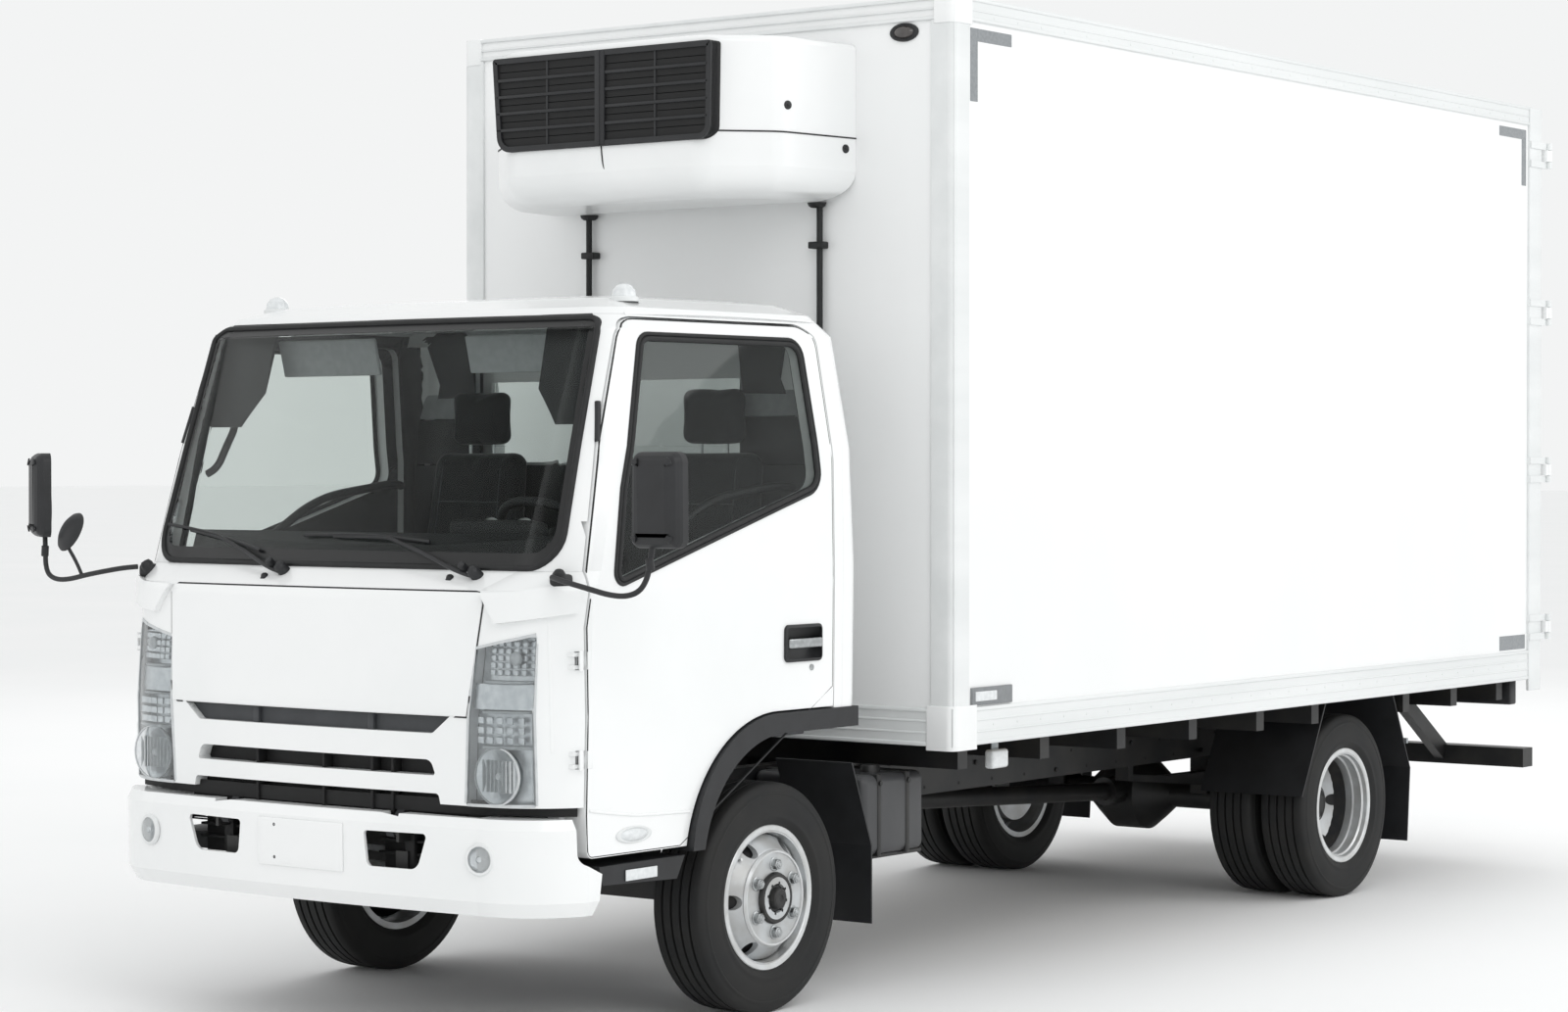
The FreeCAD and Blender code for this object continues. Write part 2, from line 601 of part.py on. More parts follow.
def build_chassis_pieces():
    rail = size.rail_outer_x
    node("engine_block", block("engine", (-290, 290), (axle - 430, axle + 590), (480, 900)))
    node("fuel_tank", block("tank", (rail, 880), (axle + 570, axle + 950), (450, 730)))
    node("battery_box", block("battery", (-880, -rail), (axle + 700, axle + 1200), (450, 730)))
    muffler = rod("muffler", "Y", (-560, axle + 1500, 560), 105, 620)
    hanger = block("muffler_hanger", (-560, -rail), (axle + 1780, axle + 1840), (620, 700))
    tail = rod("tail_pipe", "Y", (-560, axle + 2100, 560), 30, 900)
    node("exhaust", fuse("exhaust_line", [muffler, hanger, tail]))
    guard = block("guard_bar", (-1100, 1100), (box_rear - 160, box_rear - 60), (430, 515))
    legs = []
    for name, x in (("left", 690), ("right", -690)):
        strut = [(box_rear - 620, size.box_bottom), (box_rear - 700, size.box_bottom),
                 (box_rear - 700, size.box_bottom - 30), (box_rear - 160, 450), (box_rear - 110, 450),
                 (box_rear - 110, 505)]
        legs.append(prism(f"guard_strut_{name}", "YZ", strut, x - 22, 44))
    node("underrun_guard", fuse("rear_guard", [guard] + legs))
    lamps = block("lamp", (770, 1050), (box_rear - 190, box_rear - 130), (size.box_bottom - 110,
                                                                          size.box_bottom))
    node("tail_lamps", both_sides("rear_lamps", lamps))
    outline = [(-414, 445), (-207, size.box_bottom), (396, size.box_bottom), (561, 495), (535, 185),
               (529, 185), (554, 497), (391, size.box_bottom - 8), (-202, size.box_bottom - 8), (-407, 445)]
    guard_points = [(rear_axle + y, z) for y, z in outline]
    node("rear_mudguards", both_sides("rear_guards", prism("rear_guard_band", "YZ", guard_points, 558, 470)))
    outline = [(548, 235), (554, 235), (554, 500), (440, 790), (434, 788), (548, 499)]
    guard_points = [(axle + y, z) for y, z in outline]
    band = prism("front_guard_band", "YZ", guard_points, 610, 320)
    bracket = block("front_guard_bracket", (rail, 640), (axle + 480, axle + 548), (640, 660))
    node("front_mudguards", both_sides("front_guards", fuse("front_guard", [band, bracket])))
    step = prism("step", "YZ", [(axle - 915, 566), (axle - 900, 508), (axle - 535, 495),
                                (axle - 495, 566)], 600, 350)
    hanger = block("step_hanger", (rail, 640), (axle - 760, axle - 700), (558, 600))
    node("cab_steps", both_sides("steps", fuse("step_left", [step, hanger])))


# Bumper sections: height, front at the middle, front corner (x, y), side's start (x, y).
bumper_sections = [(425, -1212, 690, -1175, 958, -990), (470, -1236, 705, -1198, 980, -1000),
                   (690, -1240, 705, -1202, 982, -1002), (722, -1226, 695, -1190, 972, -995)]


def build_bumper():
    """A wrapped bumper with its two air openings, open behind."""
    bodies = []
    for inset, lift in ((0, 0), (10, 12)):
        wires = []
        for z, front, corner_x, corner_y, side_x, side_y in bumper_sections:
            z = min(max(z, 425 + lift), 722 - lift) if inset else z
            front, corner_y, side_y = (axle.value + y + inset for y in (front, corner_y, side_y))
            corner_x, side_x = corner_x - inset / 2, side_x - inset
            mid_x = corner_x + corner_fullness * (side_x - corner_x)
            mid_y = side_y + corner_fullness * (corner_y - side_y)
            rear_y = axle.value - 900 + inset
            half = [Part.Arc(vector(corner_x, corner_y, z), vector(mid_x, mid_y, z),
                             vector(side_x, side_y, z)).toShape(),
                    Part.LineSegment(vector(side_x, side_y, z), vector(side_x, rear_y, z)).toShape()]
            nose = Part.Arc(vector(-corner_x, corner_y, z), vector(0, front, z),
                            vector(corner_x, corner_y, z)).toShape()
            tail = Part.LineSegment(vector(side_x, rear_y, z), vector(-side_x, rear_y, z)).toShape()
            far = [edge.mirror(*mirror_plane) for edge in half]
            wires.append(Part.Wire(Part.__sortEdges__([nose] + half + [tail] + far)))
        bodies.append(Part.makeLoft(wires, True, True))
    outer, inner = bodies
    window = front_face([(268, 664, 12), (281, 554, 22), (480, 554, 40), (520, 666, 12)])
    hole = along(window, (-1300, -1000))
    rear_cut = across(rounded_face([(-1046, 760, 0), (-1038, 594, 40), (-938, 550, 0), (-960, 400, 0),
                                    (-600, 400, 0), (-600, 760, 0)]), (-1100, 1100))
    behind = slab((-690, 690), (-1165, -800), (400, 760))
    bumper = outer.cut(inner).cut(hole).cut(hole.mirror(*mirror_plane)).cut(rear_cut).cut(behind)
    drills = [Part.makeCylinder(3.5, 120, vector(x, axle.value - 1290, z), vector(0, 1, 0))
              for x in (-108, 108) for z in (556, 659)]
    drills += [slab((x - 40, x + 40), (-1218, -1100), (690, 740)) for x in (-360, 360)]
    bumper = bumper.cut(Part.makeCompound(drills))
    node("front_bumper", made("bumper", bumper.removeSplitter()))


# ---- cab ----

# The cab's outside as level sections, from the axle: height, front at the middle, front corner's start
# (x, y), side's start (x, y), side at its widest, back wall, radius of the rear corner.
cab_sections = [
    (590, -1190, 640, -1165, 962, -985, 972, 392, 50),
    (1030, -1200, 640, -1172, 972, -985, 987, 392, 50),
    (1410, -1160, 660, -1133, 974, -970, 992, 392, 50),
    (1470, -1085, 740, -1040, 972, -930, 992, 392, 50),
    (1850, -960, 755, -915, 955, -830, 988, 375, 55),
    (2215, -845, 770, -800, 905, -720, 962, 318, 70),
    (2285, -760, 720, -730, 850, -660, 900, 290, 90),
    (2320, -640, 640, -620, 740, -560, 800, 240, 90),
    (2335, -480, 500, -470, 600, -430, 650, 150, 90),
]
cab_eaves = 2250
corner_fullness = 0.68


def cab_envelope(inset, drop=34):
    """The closed shape of the cab, moved inwards by inset, and down by drop at the roof."""
    wires = []
    for z, front, corner_x, corner_y, side_x, side_y, wide, rear, round_ in cab_sections:
        if inset:
            z = z - drop if z > cab_eaves else z
            z = z - 20 if z == cab_sections[0][0] else z
        front, corner_y, side_y = (axle.value + y + inset for y in (front, corner_y, side_y))
        corner_x, side_x, wide = corner_x - inset / 2, side_x - inset, wide - inset
        rear = axle.value + rear - inset
        mid_x = corner_x + corner_fullness * (side_x - corner_x)
        mid_y = side_y + corner_fullness * (corner_y - side_y)
        bend = round_ * (1 - math.sqrt(0.5))
        half = [
            Part.Arc(vector(corner_x, corner_y, z), vector(mid_x, mid_y, z), vector(side_x, side_y, z)),
            Part.LineSegment(vector(side_x, side_y, z), vector(wide, rear - round_, z)),
            Part.Arc(vector(wide, rear - round_, z), vector(wide - bend, rear - bend, z),
                     vector(wide - round_, rear, z)),
        ]
        near = [edge.toShape() for edge in half]
        far = [edge.mirror(*mirror_plane) for edge in near]
        nose = Part.Arc(vector(-corner_x, corner_y, z), vector(0, front, z), vector(corner_x, corner_y, z))
        tail = Part.LineSegment(vector(wide - round_, rear, z), vector(-(wide - round_), rear, z))
        wires.append(Part.Wire(Part.__sortEdges__([nose.toShape(), tail.toShape()] + near + far)))
    return Part.makeLoft(wires, True, True)


# Outlines in the side view, from the front axle: y, z, corner radius.
door_outline = [(-987, 598, 25), (-993, 727, 0), (-993, 1300, 0), (-970, 1470, 0), (-868, 1874, 0),
                (-740, 2248, 90), (180, 2248, 90), (246, 1806, 0), (250, 1060, 0), (250, 594, 0)]
window_outline = [(-862, 1427, 25), (-812, 1720, 0), (-668, 2190, 45), (96, 2190, 60), (170, 1722, 60)]
arch_outline = [(-505, 480, 0), (-505, 988, 455), (388, 988, 0), (388, 480, 0)]
arch_lip = [(-452, 470, 0), (-452, 921, 430), (420, 921, 0), (420, 470, 0)]
screen_side = [(-1300, 1400, 0), (-925, 1400, 0), (-735, 2262, 0), (-1300, 2262, 0)]
# Outlines in the front view: x, z, corner radius.
screen_outline = [(-884, 1468, 110), (-846, 2256, 60), (846, 2256, 60), (884, 1468, 110)]
lamp_outline = [(633, 758, 12), (659, 1235, 12), (860, 1281, 12), (865, 762, 12)]
slot_outlines = [
    [(-508, 971, 20), (-576, 1025, 0), (576, 1025, 0), (508, 971, 20)],
    [(-519, 842, 8), (-500, 890, 30), (500, 890, 30), (519, 842, 8)],
    [(-548, 700, 0), (-529, 787, 15), (529, 787, 15), (548, 700, 0)],
]
hinge_places = (900, 1200)


def cab_door_hinges(leaf, panel):
    """Cut and add both halves of a cab door's two hinges: the door's eyes, the panel's lugs and pins."""
    x, y, pin = size.door_axis_x.value, size.door_axis_y.value, size.door_pin.value
    knuckle = pin + 2.5
    for z in hinge_places:
        eye, lug = (z - 12, z + 12), ((z + 13, z + 25), (z - 25, z - 13))
        leaf = leaf.fuse([upright(knuckle, x, y, eye), slab((x - 30, x - 3), (y, y + 32), eye)])
        leaf = leaf.cut(upright(pin + 0.1, x, y, (z - 30, z + 30)))
        panel = panel.cut(slab((x - 60, x + 60), (y - 12, y + 40), (z - 28, z + 28)))
        lugs = [upright(pin, x, y, (z - 25, z + 25))]
        for span in lug:
            lugs += [upright(knuckle, x, y, span), slab((x - 30, x - 3), (y - 30, y), span)]
        panel = panel.fuse(lugs)
    return leaf, panel


def build_cab():
    gap, wall_, seam = size.door_gap.value, size.cab_wall.value, size.seam.value
    jamb = wall_ + gap
    jamb_inner = jamb + size.jamb_wall.value
    outer = cab_envelope(0)
    hollow = cab_envelope(wall_)
    shell = outer.cut(hollow)
    glass_layer = outer.cut(cab_envelope(size.glass.value, size.glass.value))
    door_face, arch_face = rounded_face(door_outline), rounded_face(arch_outline)
    reach = (840, 1100)
    arch_hole = across(arch_face, (600, 1100))
    door_hole = across(door_face.makeOffset2D(gap), (reach[0] - gap, reach[1]))
    door_plug = across(door_face, reach).cut(across(arch_face.makeOffset2D(gap), (640, 1110)))
    opening = across(door_face.makeOffset2D(-40), (600, 1100))
    window_face = rounded_face(window_outline)
    limit = across(rounded_face(screen_side), (-1000, 1000))
    screen_face = front_face(screen_outline)
    screen_hole = along(screen_face, (-1400, -600)).common(limit)
    screen_plug = along(screen_face.makeOffset2D(-seam), (-1400, -600)).common(limit)

    node("cab_roof", made("roof_panel", shell.common(slab((-1100, 1100), (-1300, 500), (2262, 2400)))))
    node("windscreen", made("screen", glass_layer.common(screen_plug)))
    back = shell.common(slab((-1100, 1100), (300, 500), (921, 2262 - seam)))
    back = back.cut(slab((-560, 560), (250, 500), (1800, 2085)))
    back = back.cut(arch_hole).cut(arch_hole.mirror(*mirror_plane))
    node("cab_back_panel", made("back_panel", back))
    node("rear_window", made("rear_pane", slab((-560 + seam, 560 - seam), (318, 324),
                                               (1800 + seam, 2085 - seam))))

    slots = [along(front_face(outline), (-1400, -1000)) for outline in slot_outlines]
    lamp_face = front_face(lamp_outline)
    lamp_hole = along(lamp_face, (-1400, -900))
    nose = shell.common(slab((-1100, 1100), (-1300, -950), (755, 1468 - seam)))
    for tool in slots + [lamp_hole, lamp_hole.mirror(*mirror_plane), door_hole,
                         door_hole.mirror(*mirror_plane), screen_hole]:
        nose = nose.cut(tool)
    lamp = shell.common(along(lamp_face.makeOffset2D(-seam), (-1400, -900)))
    node("headlamps", made_both("lamps", lamp))

    leaf = shell.common(door_plug)
    leaf, nose = cab_door_hinges(leaf, nose)
    leaf_right, nose = leaf.mirror(*mirror_plane), nose.mirror(*mirror_plane)
    nose = cab_door_hinges(outer, nose)[1]
    node("cab_front_panel", made("front_panel", nose))
    pane = glass_layer.common(door_plug).common(across(window_face.makeOffset2D(-seam), reach))
    leaf = leaf.cut(across(window_face, reach))
    for side, shape, glass in (("left", leaf, pane),
                               ("right", leaf.mirror(*mirror_plane), pane.mirror(*mirror_plane))):
        node(f"{side}_cab_door", made(f"door_{side}", shape))
        node(f"{side}_door_glass", made(f"door_pane_{side}", glass))

    frame = outer.cut(cab_envelope(jamb_inner)).common(slab((600, 1100), (-1300, 300 - seam),
                                                            (600, 2262 - seam)))
    frame = frame.cut(door_hole.cut(cab_envelope(jamb))).cut(opening).cut(arch_hole)
    frame = frame.cut(across(rounded_face([(-1300, 500, 0), (-950, 500, 0), (-950, 1468, 0),
                                           (-1300, 1468, 0)]), (500, 1200)).cut(cab_envelope(jamb)))
    frame = frame.cut(screen_hole).cut(slab((500, 1200), (-1300, -1004), (500, 1468)))
    frame = frame.cut(slab((500, 820), (-1300, -980), (500, 1468)))
    frame = frame.cut(slab((500, 1200), (-1300, 500), (500, 620)))
    ring = across(arch_face.makeOffset2D(35), (sill_inner + seam, 912)).cut(arch_hole)
    ring = ring.common(slab((800, 1000), (-600, 300 - seam), (620, 1100)))
    sill = slab((sill_inner + seam, 896), (-960, -520), (620, 789))
    swept = upright(165, size.door_axis_x.value, size.door_axis_y.value, (1400, 1620))
    room = slab((700, 1100), (-950, -800), (1300, 1700))
    room = room.fuse(slab((700, 870), (-966, -800), (1300, 1700)))
    frame = frame.cut(swept.common(room))
    frame = frame.fuse([ring, sill]).removeSplitter()
    node("cab_side_frames", made_both("side_frames", frame))
    flare = across(arch_face.makeOffset2D(-0.3), (900, 991)).cut(across(rounded_face(arch_lip), (890, 1020)))
    node("arch_flares", made_both("flares", flare.common(slab((890, 1000), (-600, 500), (580, 1000)))))


# Steering wheel: centre, its place behind the front axle, rim and column radius, lean in degrees.
steering = {"x": 490, "y": -545, "z": 1550, "rim": 210, "column": 28, "lean": 37}


def build_cab_inside():
    """Floor pan with its seat platform, dashboard, steering wheel and two seats."""
    lining = cab_envelope(size.cab_wall.value + size.door_gap.value + size.jamb_wall.value + 1)
    room = made("cab_room", lining)
    front, step, back = axle - 1180, axle - 480, axle + 392 - size.cab_wall - size.seam
    profile = [(front, 790), (step, 790), (step, 1000), (back, 1000), (back, 1025), (step - 30, 1025),
               (step - 30, 820), (front, 820)]
    pan = prism("floor_pan", "YZ", profile, -sill_inner, sill_inner * 2)
    corner = block("floor_corner", (815, sill_inner + 10), (front, axle - 880), (780, 830))
    limits = made("floor_limits", cab_envelope(size.cab_wall.value + size.seam.value))
    trimmed = doc.addObject("Part::MultiCommon", "floor_trimmed")
    rear_corner = block("floor_rear_corner", (850, sill_inner + 10), (axle + 180, back + 10), (990, 1035))
    corners = group("floor_corner_pair", [corner, rear_corner])
    trimmed.Shapes = [cut("floor_cornered", pan, both_sides("floor_corners", corners)), limits]
    pivot_y, pivot_z = axle + tilt_place, tilt_height
    arm = prism("tilt_arm", "YZ", [(pivot_y - 6.5, pivot_z + 4.6), (pivot_y + 6.5, pivot_z - 4.6),
                                   (pivot_y + 109, 800), (pivot_y + 89, 800)], 345, 30)
    eye = rod("tilt_eye", "X", (345, pivot_y, pivot_z), 14, 30)
    bore = rod("tilt_bore", "X", (340, pivot_y, pivot_z), 9.1, 40)
    arm = cut("tilt_arm_bored", fuse("tilt_arm_eye", [arm, eye]), bore)
    node("cab_floor", fuse("floor_and_arms", [trimmed, arm, mirrored("tilt_arm_right", arm)]))
    profile = [(axle - 1140, 1060), (axle - 880, 1060), (axle - 825, 1180), (axle - 800, 1500),
               (axle - 830, 1565), (axle - 900, 1575), (axle - 1060, 1490), (axle - 1140, 1450)]
    dash = doc.addObject("Part::MultiCommon", "dash_trimmed")
    dash.Shapes = [prism("dash", "YZ", profile, -900, 1800), room]
    rim = doc.addObject("Part::Torus", "steering_rim")
    rim.Radius1, rim.Radius2 = steering["rim"], 15
    spokes = doc.addObject("Part::Box", "steering_spokes")
    spokes.Length, spokes.Width, spokes.Height = steering["rim"] * 2 - 10, 60, 14
    spokes.Placement.Base = vector(5 - steering["rim"], -30, -7)
    lean = math.radians(steering["lean"])
    column = doc.addObject("Part::Cylinder", "steering_column")
    column.Radius = steering["column"]
    above_floor = steering["z"] - 820.2 - steering["column"] * math.sin(lean)
    column.Height = above_floor / math.cos(lean)
    column.Placement.Base = vector(0, 0, -column.Height.Value)
    hub = doc.addObject("Part::Cylinder", "steering_hub")
    hub.Radius, hub.Height = 50, 55
    hub.Placement.Base = vector(0, 0, -40)
    wheel = fuse("steering", [rim, spokes, hub, column])
    tunnel = doc.addObject("Part::Cylinder", "column_tunnel")
    tunnel.Radius, tunnel.Height = steering["column"] + 0.4, 700
    tilt_axis, centre = vector(1, 0, 0), vector(steering["x"], 0, steering["z"])
    for thing, turn in ((wheel, -steering["lean"]), (tunnel, 180 - steering["lean"])):
        thing.Placement = FreeCAD.Placement(centre, FreeCAD.Rotation(tilt_axis, turn))
        thing.setExpression("Placement.Base.y", (axle + steering["y"]).text)
    node("steering_wheel", wheel)
    node("dashboard", cut("dash_bored", dash, tunnel))
    for side, x in (("driver", 520), ("passenger", -520)):
        base = block(f"{side}_base", (x - 200, x + 200), (axle - 370, axle + 90), (1025, 1090))
        cushion = block(f"{side}_cushion", (x - 250, x + 250), (axle - 400, axle + 110), (1090, 1240))
        back = [(axle + 60, 1210), (axle + 190, 1210), (axle + 262, 1850), (axle + 152, 1850)]
        rest = [(axle + 160, 1845), (axle + 250, 1845), (axle + 250, 2060), (axle + 165, 2060)]
        parts = [base, cushion, prism(f"{side}_back", "YZ", back, x - 240, 480),
                 prism(f"{side}_rest", "YZ", rest, x - 130, 260)]
        node(f"{side}_seat", fuse(f"seat_{side}", parts))


def build_mirrors():
    """Mirror heads on bent arms from the cab's front corners."""
    head = slab((1250, 1445), (-1200, -1080), (1540, 1835))
    tube = pipe([(900, axle.value - 1100, 1428), (1240, axle.value - 1145, 1405),
                 (1340, axle.value - 1145, 1450), (1340, axle.value - 1145, 1545)], 13, 40)
    foot = slab((850, 925), (-1120, -1010), (1385, 1455))
    mirror = head.fuse([tube, foot]).cut(cab_envelope(-0.3))
    mirror = max(mirror.Solids, key=lambda solid: solid.Volume)
    node("door_mirrors", made_both("mirrors", mirror))


def build_unit():
    """Refrigeration unit on the front wall and its two hoses down to the engine."""
    half = size.unit_width.value / 2
    low, high = size.unit_bottom.value, size.unit_top.value
    wall_y, front_y = box_front.value, axle.value + size.unit_front.value
    plan = [vector(-half, wall_y, low), vector(-half + 65, front_y + 70, low),
            vector(-half + 130, front_y, low), vector(half - 130, front_y, low),
            vector(half - 65, front_y + 70, low), vector(half, wall_y, low)]
    upper = Part.Face(Part.makePolygon(plan + plan[:1])).extrude(vector(0, 0, high - low))
    side = [vector(-half, front_y, high), vector(-half, wall_y, high), vector(-half, wall_y, low),
            vector(-half, front_y + 120, low), vector(-half, front_y, low + 110)]
    belly = Part.Face(Part.makePolygon(side + side[:1])).extrude(vector(2 * half, 0, 0))
    node("refrigeration_unit", made("unit", upper.common(belly)))
    hoses = []
    radius = size.hose_radius.value
    for x, inner in ((-490, -200), (560, 200)):
        y = wall_y - radius - 10
        points = [(x, y, low), (x, y, 930), (inner, axle.value + 660, 800), (inner, axle.value + 590, 800)]
        hoses.append(pipe(points, radius, 60))
    node("unit_hoses", made("hoses", Part.makeCompound(hoses)))


build_box()
build_rear_doors()
build_frame()
build_axles()
build_knuckles()
build_wheels()
build_chassis_pieces()
build_bumper()
build_cab()
build_cab_inside()
build_mirrors()
build_unit()
doc.recompute()

for thing in doc.Objects:
    if "Invalid" in thing.State or "Error" in thing.State:
        raise RuntimeError(f"{thing.Label} failed: {thing.State}")
os.makedirs("parts", exist_ok=True)
for label, thing in nodes.items():
    shape = thing.Shape
    if shape.isNull() or not shape.isValid():
        raise RuntimeError(f"{label} has no valid shape")
    shape.exportStep(f"parts/{label}.step")
    box = shape.optimalBoundingBox(False)
    print(f"{label:20s} solids {len(shape.Solids)}  volume {shape.Volume / 1e6:8.2f}  "
          f"x {box.XMin:6.0f} {box.XMax:6.0f}  y {box.YMin:6.0f} {box.YMax:6.0f}  "
          f"z {box.ZMin:6.0f} {box.ZMax:6.0f}")
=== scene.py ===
import json
import math

import bpy
from mathutils import Matrix, Vector

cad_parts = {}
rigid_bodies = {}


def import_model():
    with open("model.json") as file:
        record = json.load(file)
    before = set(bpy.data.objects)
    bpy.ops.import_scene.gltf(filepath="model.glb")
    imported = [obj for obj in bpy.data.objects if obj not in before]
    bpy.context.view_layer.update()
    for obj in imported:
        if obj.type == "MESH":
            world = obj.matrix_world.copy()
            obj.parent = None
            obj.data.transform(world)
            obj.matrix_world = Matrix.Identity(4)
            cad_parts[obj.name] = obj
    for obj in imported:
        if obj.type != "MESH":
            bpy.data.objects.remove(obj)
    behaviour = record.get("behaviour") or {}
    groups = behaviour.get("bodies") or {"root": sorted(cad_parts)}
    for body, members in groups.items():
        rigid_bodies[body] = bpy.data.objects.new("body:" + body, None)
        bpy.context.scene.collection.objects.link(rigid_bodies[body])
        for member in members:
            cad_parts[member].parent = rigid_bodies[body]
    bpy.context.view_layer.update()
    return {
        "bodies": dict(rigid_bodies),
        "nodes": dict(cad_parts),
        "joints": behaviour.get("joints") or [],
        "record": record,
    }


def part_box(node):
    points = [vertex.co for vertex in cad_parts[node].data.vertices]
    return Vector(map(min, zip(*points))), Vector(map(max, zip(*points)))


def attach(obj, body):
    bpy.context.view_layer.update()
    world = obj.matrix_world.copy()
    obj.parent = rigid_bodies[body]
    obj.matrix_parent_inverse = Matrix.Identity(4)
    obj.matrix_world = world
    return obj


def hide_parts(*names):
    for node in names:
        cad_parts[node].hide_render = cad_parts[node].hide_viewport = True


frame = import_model()
nodes = frame["nodes"]

# places shared by several pieces, metres, front towards -Y
place = {
    "frontAxleY": -2.168,
    "rearAxleY": 1.677,
    "axleZ": 0.378,
    "boxFrontY": -1.388,
}


def linear(hexColour):
    # sRGB hex to the linear colour that a socket takes
    values = [int(hexColour[i:i + 2], 16) / 255 for i in (1, 3, 5)]
    return [v / 12.92 if v <= 0.04045 else ((v + 0.055) / 1.055) ** 2.4 for v in values] + [1.0]


def addNode(tree, kind, links=(), **settings):
    # one node; settings are its properties or, with a name in sockets, its input values
    made = tree.nodes.new(kind)
    for name, value in settings.items():
        if name == "sockets":
            for socket, number in value.items():
                made.inputs[socket].default_value = number
        else:
            setattr(made, name, value)
    for source, output, socket in links:
        tree.links.new(source.outputs[output], made.inputs[socket])
    return made


def newMaterial(name, hexColour, **sockets):
    made = bpy.data.materials.new(name)
    made.use_nodes = True
    shader = made.node_tree.nodes["Principled BSDF"]
    shader.inputs["Base Color"].default_value = linear(hexColour)
    for socket, value in sockets.items():
        shader.inputs[socket.replace("_", " ")].default_value = value
    return made


def mottle(material, other, scale, amount, detail=4, low=0.35, high=0.65, stretch=(1, 1, 1)):
    # blends a second colour in, in soft patches 1/scale metres across
    tree = material.node_tree
    shader = tree.nodes["Principled BSDF"]
    first = list(shader.inputs["Base Color"].default_value)
    where = addNode(tree, "ShaderNodeTexCoord")
    mapped = addNode(tree, "ShaderNodeMapping", [(where, "Object", "Vector")], sockets={"Scale": stretch})
    noise = addNode(tree, "ShaderNodeTexNoise", [(mapped, "Vector", "Vector")],
                    sockets={"Scale": scale, "Detail": detail})
    span = addNode(tree, "ShaderNodeMapRange", [(noise, "Fac", "Value")],
                   sockets={"From Min": low, "From Max": high, "To Max": amount})
    blend = addNode(tree, "ShaderNodeMix", [(span, "Result", "Factor")], data_type="RGBA")
    blend.inputs["A"].default_value = first
    blend.inputs["B"].default_value = linear(other)
    tree.links.new(blend.outputs["Result"], shader.inputs["Base Color"])
    return blend


def grain(material, scale, height, kind="ShaderNodeTexNoise", output="Fac", stretch=(1, 1, 1), **sockets):
    # fine relief, 1/scale metres across and height metres deep
    tree = material.node_tree
    shader = tree.nodes["Principled BSDF"]
    where = addNode(tree, "ShaderNodeTexCoord")
    mapped = addNode(tree, "ShaderNodeMapping", [(where, "Object", "Vector")], sockets={"Scale": stretch})
    texture = addNode(tree, kind, [(mapped, "Vector", "Vector")], sockets={"Scale": scale, **sockets})
    bump = addNode(tree, "ShaderNodeBump", [(texture, output, "Height")],
                   sockets={"Strength": 1.0, "Distance": height})
    tree.links.new(bump.outputs["Normal"], shader.inputs["Normal"])
    return bump


